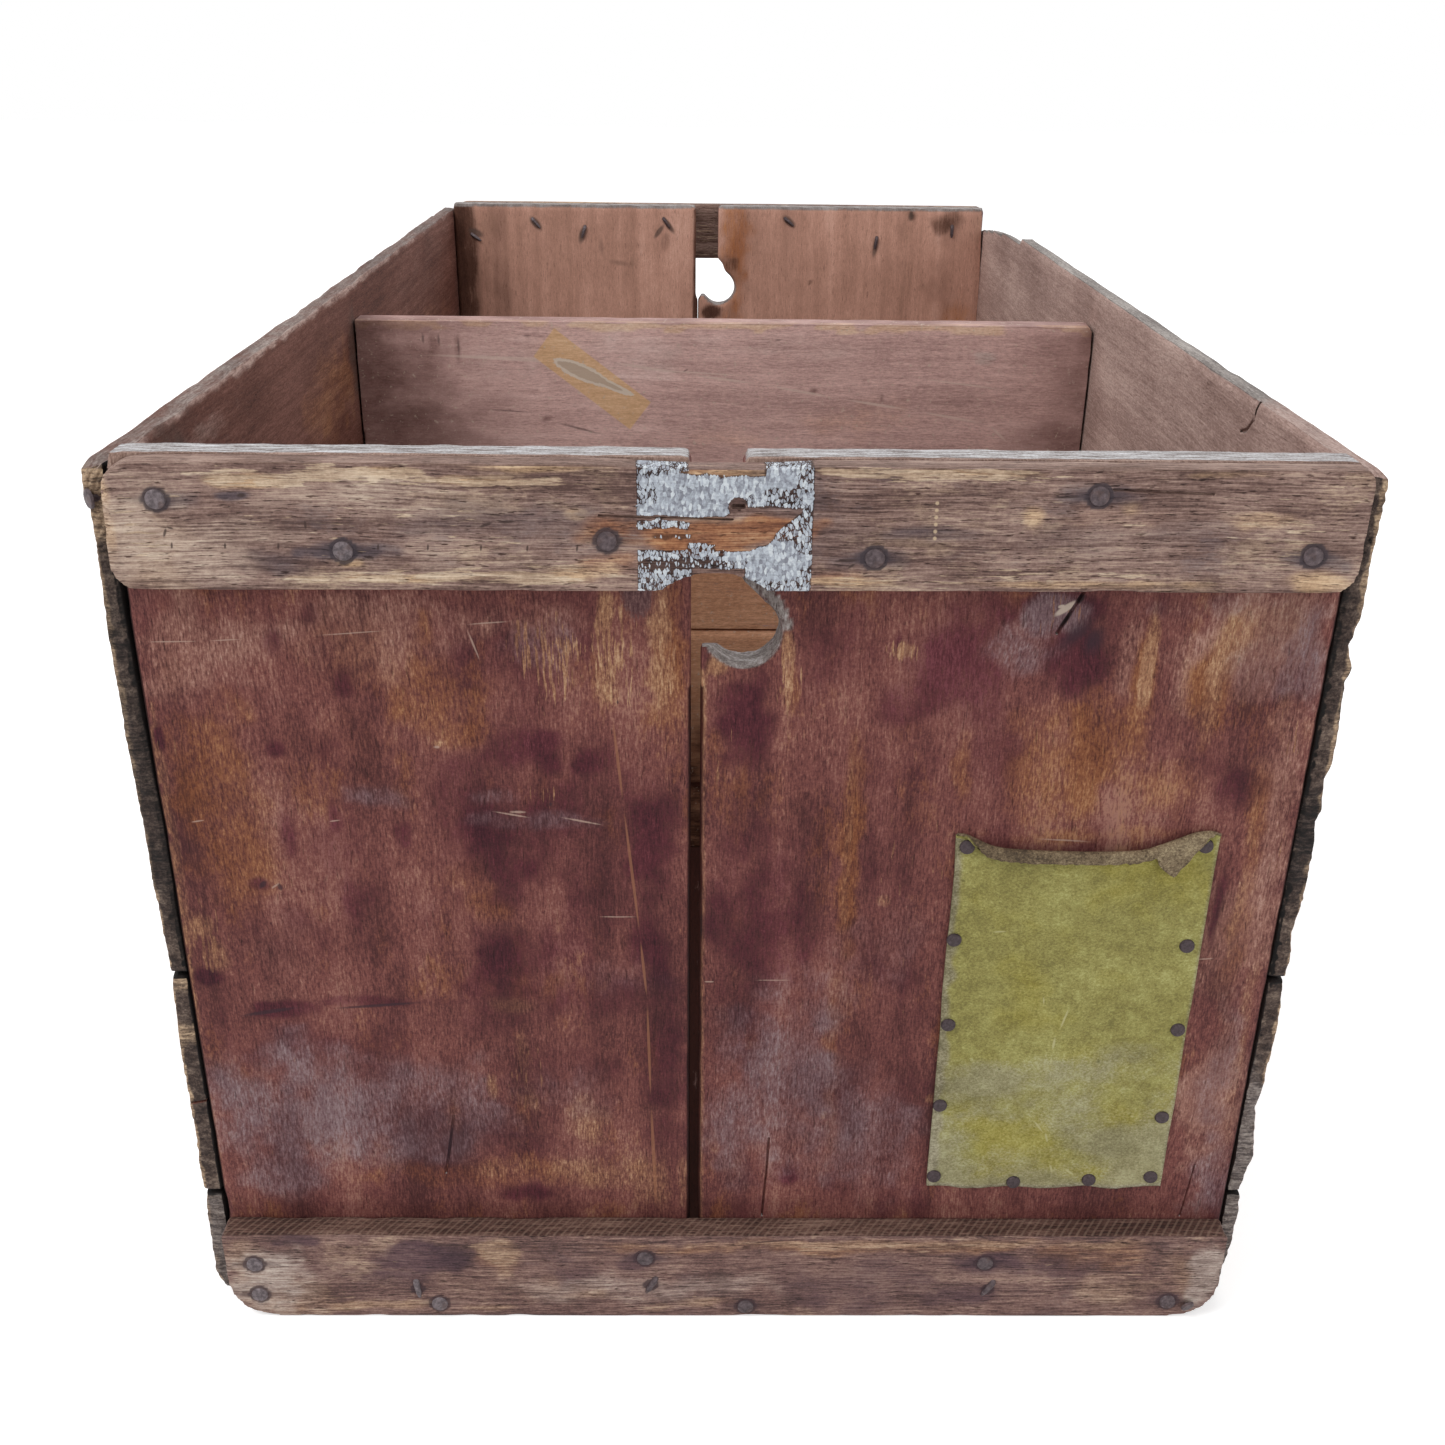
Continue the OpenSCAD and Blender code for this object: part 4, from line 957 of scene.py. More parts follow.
for node, piece in WALLS.items():
    p, n = surface(piece)
    side = -1 if node.startswith("left") else 1
    inside = smooth(-side * n[:, 0], 0.2, 0.6)
    outside = smooth(side * n[:, 0], 0.2, 0.6)
    # The right wall's inside is laid pale and dusty and the left wall's inside dark: partly real dust, partly painted
    # light and shade, as the light falls from the left.
    lay_on(piece, "dusty", inside * (1.6 if side > 0 else 0.15 * smooth(p[:, 1], -60, 160)) + outside * 0.9)
    top = smooth(n[:, 2], 0.3, 0.7) * smooth(p[:, 2], SIDE_H - 16, SIDE_H - 14)
    lay_on(piece, "grey", (0.35 if side < 0 else 0.3 + smooth(p[:, 1], -280, -200)) * top)
    lay_on(piece, "dusty", (0.0 if side < 0 else 0.9) * top)
    lay_on(piece, "stain_and_shade", (0.5 if side < 0 else 0.2) * top)
    lay_on(piece, "stain_and_shade", outside * 0.8 * smooth(ripple(p, (30, 110, 26), 61), 0.15, 0.7))
    lay_on(piece, "tan", outside * 0.7 * smooth(ripple(p, (30, 90, 14), 62), 0.25, 0.8))
    # Outside, dirt near the foot; inside, next to the front end board, painted shade in the corner.
    lay_on(piece, "dirt_and_shade", outside * 0.5 * (1 - smooth(p[:, 2], 6, 40)) + 1.3 * inside * (p[:, 1] < -HALF_L + END_T))
    lay_on(piece, "flake", outside * (0.35 + 0.35 * ripple(p, (30, 160, 20), 63)))
    joint = np.minimum(np.abs(p[:, 2] - 52), np.abs(p[:, 2] - 150))
    lay_on(piece, "dirt_and_shade", 1.2 * (1 - smooth(joint, 0.8, 2.2)) * (p[:, 1] < -HALF_L + 6))
    rind = smooth(side * p[:, 0] + 0.9 * ripple(p, (9, 9, 3.4), 65), 196.2, 197.6)
    lay_on(piece, "tan", 0.75 * rind * (n[:, 1] < -0.1) * (p[:, 1] < -HALF_L + 6))
    # A dark line on the wall's front end beside the end board: painted shadow in the gap between them.
    beside = 1 - smooth(side * p[:, 0] + 0.8 * ripple(p, (9, 9, 5), 64), 191.0, 192.2)
    lay_on(piece, "dirt_and_shade", 1.3 * beside * (n[:, 1] < -0.1) * (p[:, 2] > 292) * (p[:, 1] < -HALF_L + 6))
paint(WALLS["left_side_top_board"], "tan", [(-195, 318, 9, 22, 0.9)], facing=FRONT)
paint(WALLS["left_side_top_board"], "stain_and_shade", [(-194, 226, 7, 74, 0.6)], facing=FRONT)
paint(WALLS["left_side_middle_board"], "tan", [(-195, 125, 9, 5, 0.7), (-195, 146, 9, 4, 0.6)], facing=FRONT)
paint(WALLS["left_side_low_board"], "bare", [(-195, 26, 9, 28, 0.8)], facing=FRONT)
paint(WALLS["right_side_top_board"], "stain_and_shade", [(195, 205, 7, 17, 1.0), (192, 300, 3, 40, 0.5)], facing=FRONT)
for level, spot in (("low", (195, 26, 9, 40, 0.9)), ("middle", (195, 80, 9, 38, 0.8))):
    paint(WALLS[f"right_side_{level}_board"], "bare", [spot], facing=FRONT)
paint(WALLS["left_side_top_board"], "warm", [(-60, 290, 60, 24, 0.5), (200, 270, 120, 20, 0.3)], (1, 2), (1, 0, 0))
paint(WALLS["left_side_top_board"], "dusty", [(-60, 334, 330, 3, 0.6), (-250, 320, 30, 8, 0.3)], (1, 2), (1, 0, 0))
paint(WALLS["left_side_top_board"], "stain_and_shade", [(-300, 320, 46, 16, 0.7), (-300, 285, 60, 40, 0.45),
                                              (-10, 300, 12, 30, 0.6)], (1, 2), (1, 0, 0))
paint(WALLS["right_side_top_board"], "stain_and_shade", [(-4, 331, 14, 4, 0.8), (-318, 325, 8, 8, 0.35),
                                               (76, 325, 13, 7, 0.7)], (1, 2), (-1, 0, 0))
paint(WALLS["right_side_top_board"], "warm", [(200, 300, 120, 20, 0.4), (320, 300, 30, 30, 0.5)], (1, 2), (-1, 0, 0))

for piece in PARTITION:
    p, n = surface(piece)
    rim = smooth(p[:, 2] + 1.7 * ripple(p, (9, 5, 3), 74), 312.8, 314) * (p[:, 1] < PART_FRONT + 4)
    lay_on(piece, "tan", 1.3 * smooth(ripple(p, (14, 5, 3), 71), -0.35, 0.1) * rim)
    # The partition's left end is darkened with painted shade, where the left wall shades it; stain darkens its top,
    # and it is darker towards its right end.
    top = smooth(n[:, 2], 0.4, 0.8) * (p[:, 2] > 312)
    shade = 0.65 * (1 - smooth(p[:, 0] + 0.4 * (p[:, 2] - 290), -190, -60))
    corner = 0.45 * smooth(p[:, 0], 150, 186) + 0.3 * smooth(p[:, 0], 138, 148) * (1 - smooth(p[:, 2], 262, 272))
    lay_on(piece, "stain_and_shade", np.maximum.reduce([0.55 * top, shade, corner]))
    # Low down, where one looks in by the finger hole, the wood is warmer and less dusty.
    lay_on(piece, "warm", np.maximum(0.3 * smooth(ripple(p, (70, 30, 26), 72), 0.2, 0.8),
                                     1.3 * (1 - smooth(p[:, 2], 185, 215))))
    # Darker towards the bottom: painted shade, as less light reaches low in the crate.
    lay_on(piece, "dirt_and_shade", 0.6 * (1 - smooth(p[:, 2], 40, 165)))
# The bottom planks are darkened on top, partly dirt and partly painted shade deep in the crate, and a little
# underneath.
for piece in PLANKS:
    p, n = surface(piece)
    lay_on(piece, "dirt_and_shade", 1.1 * smooth(n[:, 2], 0.2, 0.6) + 0.3 * smooth(-n[:, 2], 0.2, 0.6))
paint(PARTITION[1], "warm", [(70, 268, 50, 12, 0.25), (70, 265, 8, 10, 0.3), (0, 258, 30, 9, 0.25)], facing=FRONT)
paint(PARTITION[1], "dusty", [(133, 301, 8, 4, 0.8), (-60, 300, 60, 12, 0.3), (40, 305, 50, 8, 0.3)], facing=FRONT)
paint(PARTITION[1], "stain_and_shade", [(-150, 306, 3, 7, 0.7), (-137, 303, 1.5, 9, 0.6), (-93, 267, 3, 2, 0.7),
                              (47, 283, 3, 2, 0.6), (83, 279, 2, 3, 0.6)], facing=FRONT)


# Wood finishes

# Softwood ends, dressed, oiled and handled for years: red brown with dark purple stains, satin.
dressed = old_wood("dressed_softwood_ends", 2, END_WOOD, 1, contrast=1.15, thread=(0.45, 4.0),
                   streak=(1.1, 16.0), weights=(0.45, 0.3, 0.4, 0.9, 0.5, 0.8),
                   tatters=(0.2, 1.3, 0.3, 1.3), sawn=SAWN_TIPS, pores=0.55)
# Their sawn tops are bleached pale blue grey, with lines of grain.
lines = dressed.total((dressed.mottle((10, 0.9, 3), 4.0, 0.7, 12), 2.2), (dressed.grit, 0.8))
dressed.lay(dressed.worn("grey", 0.5, 1.0), ("#685f5c", "#989190", "#b7b4b5", "#d6d7da"), lines, (0.9, 1.15))
handled = dressed.worn("rubbed", dressed.ragged, 0.7)
dressed.lay(handled, END_WOOD["rubbed"], dressed.value, (0.5, 0.9))
scratches = dressed.strokes([
    (-189, 276.8, -168, 277.3, 0.35), (-168, 277.3, -155, 278.1, 0.3), (-136, 279.2, -107, 281.5, 0.3),
    (-87.5, 283.3, -69.5, 284.8, 0.35), (-85.6, 283.3, -81.3, 270, 0.45), (-60, 215, -42, 211.4, 0.5),
    (-48, 175.6, -31, 175.7, 0.35), (6.5, 149.6, 23.5, 149.7, 0.3), (-10, 148.9, -5, 148.9, 0.45),
    (100, 207.5, 124, 206.2, 0.45), (-182, 212, -176, 213, 0.4), (-136, 212.5, -131, 213.2, 0.4),
    (-82, 217, -66, 214, 0.5), (163, 159, 171, 159.6, 0.4),
    (-158, 186, -154, 189, 0.6), (-99, 240.5, -96, 240.5, 0.7), (-76, 216.5, -68, 216.5, 0.7),
], -HALF_L)
scratches = add(dressed.tree, "Math", {0: scratches, 1: dressed.streaks}, operation="MULTIPLY")
dressed.lay(scratches, "#b59a8b", 0.5, (0.06, 0.3), 0.65)
# The edge of a growth ring, all the way down the left board.
ring = dressed.strokes([(-39.8, 252, -36.8, 220, 0.6), (-36.8, 220, -31.7, 167, 0.6), (-31.7, 167, -29.6, 141.6, 0.6),
                        (-29.6, 141.6, -28.6, 96.5, 0.6), (-28.6, 96.5, -26.9, 43, 0.8)], -HALF_L)
dressed.lay(ring, "#96664c", 0.5, (0.05, 0.35), 0.6)
# Dark lines in a crack, gouges and dents: painted shade where the wood is sunk.
slashes = dressed.strokes([(-101.5, 89, -106, 62.5, 0.8), (-146, 136.5, -104, 140.2, 0.9),
                           (-178, 133, -150, 138, 1.2), (-158.5, 190, -162, 186, 1.4),
                           (-155, 189, -154, 185, 1.2), (-61.6, 219.5, -60.4, 219.5, 1.0),
                           (-38.5, 257, -37.5, 257, 1.0)], -HALF_L)
dressed.lay(slashes, "#33232a", 0.5, (0.1, 0.6), 0.75)
# A dark patch with hard sides, left of the seam under the batten.
patch = dressed.total((dressed.strokes([(-31.4, 312, -31.4, 280, 8.5)], -HALF_L), 1.0), (dressed.specks, 0.8))
dressed.lay(patch, ("#2e1c20", "#462e31", "#5c4243", "#7a5d5a"), dressed.value, (0.3, 0.5), 0.85)
# The knot's dark streak, its pale split and the crack beside it; the crack is painted near black, as shade in it.
dressed.lay(dressed.strokes([(116.5, 289, 100, 275, 4.5), (116, 287, 112, 272, 5)], -HALF_L), "#33212a", 0.5,
            (0.05, 0.9), 0.8)
dressed.lay(dressed.strokes([(108.2, 293.6, 99.5, 287, 1.5), (104, 291.3, 101, 290.6, 0.8)], -HALF_L), "#bfae9f",
            0.5, (0.1, 0.5), 0.9)
dressed.lay(dressed.strokes([(109.8, 296, 106.8, 291, 1.3), (106.8, 291, 101.6, 281.5, 1.1)], -HALF_L), "#150c0d",
            0.5, (0.1, 0.6), 0.9)
dressed_wood = dressed.finish(0.7, 0.16, 0.2)

# The same softwood on the back end, whose inside has stayed paler and drier, and is laid paler still as painted light
# inside the crate.
far = old_wood("dry_softwood_ends", 2, FAR_WOOD, 11, contrast=0.8, thread=(0.5, 5.0),
               streak=(1.4, 20.0), weights=(0.4, 0.3, 0.7, 0.9, 0.4, 0.4), sawn=SAWN_TIPS, pores=0.4)
# The points of its upper nails have been beaten down into it.
beaten = far.strokes([(-137, 331, -126.5, 319, 3.8), (-96, 326, -101, 309, 3.4), (-42, 332, -31, 317, 2.6),
                      (-39, 326, -48, 314, 2.4), (44, 333, 56, 323, 3.6), (114.5, 321, 111.5, 301, 2.6),
                      (137.5, 337, 137.5, 328, 2.6), (-182, 321, -168, 315, 3.8)], HALF_L - END_T)
far.lay(beaten, "#54453f", 0.5, (0.05, 0.6), 0.75)
bruise = far.strokes([(-86, 318, -84, 300, 3.0), (-84, 300, -60, 296, 3.0)], HALF_L - END_T)
far.lay(bruise, "#7a5c50", 0.5, (0.05, 0.9), 0.5)
far_wood = far.finish(0.75, 0.16, 0.2)

# Upper battens, bleached and raised by weather: tan ridges over grey brown, quite rough.
top_wood = old_wood("weathered_batten_wood", 0, TOP_BATTEN, 20, contrast=1.25, cloud=20, thread=(0.55, 20),
                    streak=(1.5, 46), band=(7, 150), weights=(0.95, 0.5, 0.4, 0.65, 0.3, 0.35), flakes=0.5,
                    pores=0.9, sawn=TOP_BATTEN["base"])
halos = top_wood.worn("halo", top_wood.ragged, 0.5)
top_wood.lay(halos, "#3a3238", 0.5, (0.1, 0.9), 0.85)
# Blue grey paint, dabbed on over a weave: small upright dabs with dark gaps, run together where thick.
weave = add(top_wood.tree, "Mapping", {"Vector": top_wood.mm, "Scale": (1 / 0.85, 1 / 3, 1 / 1.8)})
gaps = add(top_wood.tree, "TexVoronoi", {"Vector": weave, "Scale": 1.0}, "Distance", feature="DISTANCE_TO_EDGE")
gaps = add(top_wood.tree, "MapRange", {"Value": gaps, "From Max": 0.26, "To Max": 0.45})
dab = add(top_wood.tree, "TexVoronoi", {"Vector": weave, "Scale": 1.0}, "Color")
painted = add(top_wood.tree, "Attribute", {}, "Fac", attribute_name="paint")
# Under the paint patch the wood is darkened first: painted shade in the gaps between the dabs.
top_wood.lay(painted, "#75696a", 0.5, (0.1, 0.6), 0.9, "MULTIPLY")
film = top_wood.total((painted, 1.0), (gaps, 1.0), (dab, 0.5), (top_wood.grit, 0.4))
paint_tones = top_wood.total((dab, 0.8), (top_wood.grit, 0.9), (top_wood.clouds, 0.4))
film = top_wood.lay(film, ("#858791", "#a2a7b1", "#b8bfc9", "#d5dbe0"), paint_tones, (0.4, 0.48))
ladder = top_wood.strokes([(58.5, 316 + 2.2 * k, 60.2, 316 + 2.2 * k, 0.9) for k in range(6)], -361)
top_wood.lay(ladder, "#cdb596", 0.5, (0.1, 0.6), 0.8)
ticks = top_wood.strokes([(x, 310.5, x + 0.4, 313.4, 0.5) for x in (-171, -155, -139, -109, -94, -78, -64, -49)]
                         + [(-173, 314, -171.5, 318, 0.6), (-172, 318, -169, 317, 0.5), (-150, 327.5, -146, 328, 1.0),
                            (-79, 318, -73, 320.4, 0.7), (-73, 320, -66, 320.5, 0.7), (-130, 320.5, -130, 317, 0.6),
                            (28, 308.5, 38, 309, 0.7), (92, 329, 104, 329.4, 0.5), (33, 306, 36, 308, 0.6)], -361)
top_wood.lay(ticks, "#3b2c28", 0.5, (0.1, 0.6), 0.8)
top_batten_wood = top_wood.finish(0.8, 0.4)

# Lower battens, darker, stained and trodden, with tan worn ends and saw marks across the top.
low_wood = old_wood("stained_batten_wood", 0, LOW_BATTEN, 40, contrast=1.25, cloud=22, thread=(0.55, 16),
                    streak=(1.5, 40), band=(7, 150), weights=(0.9, 0.5, 0.4, 0.65, 0.35, 0.5), flakes=0.3,
                    pores=0.9, sawn=LOW_BATTEN["base"])
low_wood.lay(low_wood.worn("halo", low_wood.ragged, 0.5), "#3a2a30", 0.5, (0.1, 0.9), 0.8)
marks = add(low_wood.tree, "Mapping", {"Vector": low_wood.mm, "Rotation": (0, 0, math.radians(35))})
marks = add(low_wood.tree, "TexWave", {"Vector": marks, "Scale": 0.13, "Distortion": 2.0, "Detail Scale": 0.2}, 1)
marks = add(low_wood.tree, "Math", {0: marks, 1: low_wood.masks["grey"]}, operation="MULTIPLY")
low_wood.lay(marks, "#8a7263", 0.5, (0.55, 1.0), 0.4)
low_batten_wood = low_wood.finish(0.8, 0.35)

# Side boards, planed inside and sawn at the ends, dry and dusty.
side_wood = old_wood("planed_side_wood", 1, SIDE_WOOD, 60, contrast=1.0, cloud=60, thread=(0.8, 9),
                     streak=(3, 70), band=(16, 400), flakes=0.0, pores=0.4, sawn=SAWN_ENDS)
end_tones = side_wood.total((side_wood.grit, 0.9), (side_wood.mottle((6, 5, 1.1), 4.0, 0.7, 65), 2.2))
for channel, codes in (("tan", ("#5a4a3e", "#86705c", "#a98f76", "#c8ae90")),
                       ("stain_and_shade", ("#0f0b0a", "#1d1614", "#2f2522", "#4a3e39")),
                       ("bare", ("#4a4240", "#665c59", "#80756f", "#9b918a"))):
    mask = side_wood.worn(channel, side_wood.ragged)
    mask = add(side_wood.tree, "Math", {0: mask, 1: side_wood.end_mask}, operation="MULTIPLY")
    side_wood.lay(mask, codes, end_tones, (0.1, 0.8))
side_board_wood = side_wood.finish(0.8, 0.2)

# Partition and bottom, planed softwood with a mauve bloom of dust, laid paler than the wood is, as painted light
# inside the crate.
flat_wood = old_wood("planed_partition_wood", 0, PARTITION_WOOD, 80, contrast=0.85, cloud=55, thread=(0.8, 9),
                     streak=(3, 60), band=(16, 400), flakes=-0.6, pores=0.3, sawn=SAWN_ENDS)
grain_line = flat_wood.strokes([(-160, 300, -60, 297, 0.9), (-60, 297, -20, 291, 0.9), (-20, 291, 20, 286, 0.9),
                                (20, 286, 60, 279, 0.9), (60, 279, 100, 273, 0.9), (100, 273, 140, 266, 0.9),
                                (140, 266, 151, 256, 0.9), (-55, 294, 20, 290, 0.5), (100, 290, 150, 284, 0.6),
                                (-165, 300, -60, 295.5, 0.6)], PART_FRONT)
flat_wood.lay(grain_line, "#d9c1b4", 0.5, (0.02, 0.6), 0.6)
# A strip of brown paper tape, stuck aslant, with a whitish scrape across it.
tape = add(flat_wood.tree, "Mapping", {"Vector": flat_wood.mm, "Location": (-68.5, PART_FRONT, 287.8),
                                       "Rotation": (0, math.radians(37.4), 0), "Scale": (31.5, 4, 9.5)},
           vector_type="TEXTURE")
tape = add(flat_wood.tree, "VectorMath", {0: tape}, operation="ABSOLUTE")
sides = []
for axis, soft in (("X", 0.03), ("Y", 0.1), ("Z", 0.08)):
    reach = add(flat_wood.tree, "SeparateXYZ", {0: tape}, axis)
    sides.append(add(flat_wood.tree, "MapRange", {"Value": reach, "From Min": 1.0, "From Max": 1.0 - soft}))
tape = add(flat_wood.tree, "Math", {0: sides[0], 1: sides[1]}, operation="MULTIPLY")
tape = add(flat_wood.tree, "Math", {0: tape, 1: sides[2]}, operation="MULTIPLY")
flat_wood.lay(tape, ("#c1976f", "#d2a77f", "#e0b68e", "#efcba5"), flat_wood.value)
for lines, code in ((((-90, 298.5, -58, 284.5, 4.6), (-74, 291.5, -46, 279, 2.4)), "#ddd0c2"),
                    (((-87, 297.2, -60, 285.4, 3.0), (-72, 290.6, -52, 281.7, 1.2)), "#c1a994")):
    scrape = flat_wood.strokes(lines, PART_FRONT)
    torn = flat_wood.total((scrape, 1.0), (flat_wood.mottle(2.6, 3.0, 0.6, 85), 0.5))
    flat_wood.lay(torn, code, 0.5, (0.05, 0.15), 0.85)
dashes = flat_wood.strokes([(-155, 312, -155, 304, 1.1), (-147, 312, -147, 303, 1.1), (-137, 311, -137, 297, 1.0),
                            (-128, 272, -96, 270, 0.6), (-92, 266, -60, 258, 1.0), (-105, 310, -98, 310, 0.7),
                            (25, 309, 30, 309, 0.8), (-22, 292, -18, 294, 0.7)], PART_FRONT)
flat_wood.lay(dashes, "#564441", 0.5, (0.1, 0.8), 0.6)
partition_wood = flat_wood.finish(0.78, 0.12)
floor_wood = old_wood("planed_bottom_wood", 1, PARTITION_WOOD, 90, contrast=0.9, cloud=60, thread=(0.9, 9),
                      streak=(3, 70), band=(16, 400), flakes=-0.2, pores=0.6, sawn=SAWN_ENDS)
bottom_wood = floor_wood.finish(0.82, 0.2)


def give(piece, material, slot, *nodes):
    """Hands a finished piece over: its finish, the nodes it stands for and the body it rides on."""
    piece.data.materials.clear()
    piece.data.materials.append(material)
    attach(piece, "root")
    if nodes:
        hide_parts(*nodes)


# Old paint on the upper front batten, thin and broken, with bare wood scooped out of it.
refine(top_batten, lambda c, n: (np.abs(c[:, 0] + 4) < 30) & (n[:, 1] < -0.5))
p, n = surface(top_batten)
x = p[:, 0] + 0.8 * ripple(p, 2.4, 21) + 0.6 * ripple(p, 6, 22)
z = p[:, 2] + 0.6 * ripple(p, 2.4, 23) + 0.4 * ripple(p, 6, 24)
lowest = np.interp(x, (-4, 2), (322.3, 325.3))
upper = smooth(z, lowest - 0.4, lowest + 0.4) * (1 - 0.9 * smooth(z, 334, 335.5) * hump(x, -15, 7, 1.5))
strip = hump(z, 318.8, 320.8, 0.5) * hump(x, -31, -16, 1.5)
faint = 0.6 * hump(z, 315.3, 316.6, 0.4) * hump(x, -25, -15, 2)
dabs = hump(z, 311.4, 313.6, 0.5) * hump(x, -14.5, -7, 1)
band = hump(z, 308.8, 311.2, 0.5) * hump(x, -31, 17, 1)
flecks = 0.6 * hump(z, 306, 308.6, 0.5) * hump(x, -31, 17, 1)
foot = hump(x, -31, -15, 1) * (1 - smooth(z, 305.5, 306.5))
slope = np.interp(z, (299, 306, 311.4, 314, 318.6, 325), (2, 2.5, 3, 9.2, 13.5, 19.5))
right_part = smooth(x - slope, -0.4, 0.4) * (1 - smooth(z, 325, 326))
film = np.maximum.reduce([upper, strip, faint, dabs, band, flecks, foot, right_part])
thick = smooth(ripple(p, (11, 9, 5), 25) + 0.9 * hump(x, -22, 6, 4) * hump(z, 325, 334, 2), 0.35, 0.75)
ring = smooth(np.hypot(p[:, 0] + 0.3, p[:, 2] - 325.4), 2.6, 3.3)
masked = hump(p[:, 0], -30.4, 22.2, 0.5)
lay_on(top_batten, "paint", (0.8 * film + 0.6 * thick * film) * ring * masked * (n[:, 1] < 0.1))
HEADS = ((-173.7, 326.3), (-119.5, 310.6), (-39.7, 314.4), (41.6, 309.6), (107.9, 329.6), (175.2, 311.3))
LOW_HEADS = ((-179.4, 26.3), (-31.1, 29.5), (98.9, 27.1), (-179.2, 11.1))
PLANK_HEADS = ((-110.5, 6.5, -3), (7.6, 5, -0.5), (171.5, 7.8, -5))
for piece, heads, radius in (
    (top_batten, HEADS, 3.4), (low_batten, LOW_HEADS, 3.4), (low_batten, PLANK_HEADS, 3.4),
    (low_batten, ((-118.5, 14), (-29, 16), (101, 14)), 2.0),
):
    p, n = surface(piece)
    for hx, hz, *_ in heads:
        rim = np.hypot(p[:, 0] - hx, p[:, 2] - hz)
        smear = np.hypot((p[:, 0] - hx) / (3.8 * radius), (p[:, 2] - hz) / (0.9 * radius))
        lay_on(piece, "halo", 1.3 * (1 - smooth(rim, radius + 0.2, radius + 1.2)) * (n[:, 1] < 0))
        lay_on(piece, "halo", 0.55 * (1 - smooth(smear, 0.2, 1.2)) * (n[:, 1] < 0))

for end in ("front", "back"):
    for piece, word in zip(END_BOARDS[end], ("left", "right")):
        give(piece, dressed_wood if end == "front" else far_wood, "end_board", f"{end}_{word}_board")
    give(BATTENS[end + "_top_batten"], top_batten_wood, "batten", end + "_top_batten")
    give(BATTENS[end + "_low_batten"], low_batten_wood, "batten", end + "_low_batten")
for node, piece in WALLS.items():
    give(piece, side_board_wood, "side_board", node)
for piece, word in zip(PARTITION, ("low", "top")):
    give(piece, partition_wood, "partition", f"partition_{word}_board")
for piece, word in zip(PLANKS, ("left", "middle", "right")):
    give(piece, bottom_wood, "bottom_plank", f"bottom_{word}_plank")


# Nails and tacks

HEAD_R, HEAD_T, SHANK_R = 3.2, 0.9, 1.25
GRIP = BATTEN_T + END_T
BEND_R, TIP_L = 1.5, 6.5


def headed(name, shank_r, head_r, head_t, sides=20):
    """A nail's flat head along Y with its inner face at 0, and the start of its shank selected."""
    piece = rod(name, 0.93 * head_r, head_t, (0, -head_t / 2, 0), head_r, sides)
    if pick(piece, "EDGE", lambda m, w: at(m[:, 1], -head_t, 0.05) & (np.hypot(m[:, 0], m[:, 2]) > 0.7 * head_r)):
        bpy.ops.mesh.bevel(offset=0.2 * MM, segments=2, affect="EDGES")
    done()
    pick(piece, "FACE", lambda c, n: at(c[:, 1], 0, 0.05) & (n[:, 1] > 0.9))
    bpy.ops.mesh.inset(thickness=(head_r - shank_r) * MM)
    return piece


def draw_out(x, y, taper, centre=None):
    """Extrudes the selected face and narrows it about a centre."""
    bpy.ops.mesh.extrude_region_move(TRANSFORM_OT_translate={"value": (x * MM, y * MM, 0)})
    if taper != 1:
        bpy.ops.transform.resize(value=(taper,) * 3, center_override=Vector(centre) * MM)


def close_up(piece):
    """Ends the edit with doubles merged and all faces outwards."""
    bpy.ops.mesh.select_all(action="SELECT")
    bpy.ops.mesh.remove_doubles(threshold=0.01 * MM)
    bpy.ops.mesh.normals_make_consistent(inside=False)
    done()
    bpy.ops.object.shade_smooth_by_angle(angle=math.radians(40))
    return piece


clinched = headed("clinched_nail", SHANK_R, HEAD_R, HEAD_T)
draw_out(0, GRIP, 1)
bpy.ops.mesh.spin(steps=5, angle=math.pi / 2, center=Vector((BEND_R, GRIP, 0)) * MM, axis=(0, 0, 1))
draw_out(TIP_L - 2.0, 0, 0.85, (BEND_R + TIP_L - 2.0, GRIP + BEND_R, 0))
draw_out(2.0, 0, 0.5, (BEND_R + TIP_L, GRIP + BEND_R, 0))
close_up(clinched)

straight = headed("straight_nail", SHANK_R, HEAD_R, HEAD_T)
draw_out(0, 29, 1)
draw_out(0, 5, 0.24, (0, 34, 0))
close_up(straight)

small_tack = headed("small_tack", 0.8, 2.7, 0.8, 16)
draw_out(0, 8.5, 0.3, (0, 8.5, 0))
close_up(small_tack)


def turned(place, heading, turn=0.0, lift=0.0):
    """Where a nail goes: its head's place, the way it points, the turn of its tip and a tilt."""
    return (Matrix.Translation(place) @ Matrix.Rotation(math.radians(heading), 4, "Z")
            @ Matrix.Rotation(math.radians(lift), 4, "X") @ Matrix.Rotation(math.radians(-turn), 4, "Y"))


def seat(piece, place, way, spread=3.0):
    """How far a board's worn face lies below a head's place, along the way that the nail goes."""
    p, n = surface(piece)
    way = np.array(way, float)
    off = p - np.array(place, float)
    depth = off @ way
    aside = np.linalg.norm(off - depth[:, None] * way, axis=1)
    near = (aside < spread) & (n @ way < -0.5) & (np.abs(depth) < 6)
    return float(np.median(depth[near])) if near.any() else 0.0


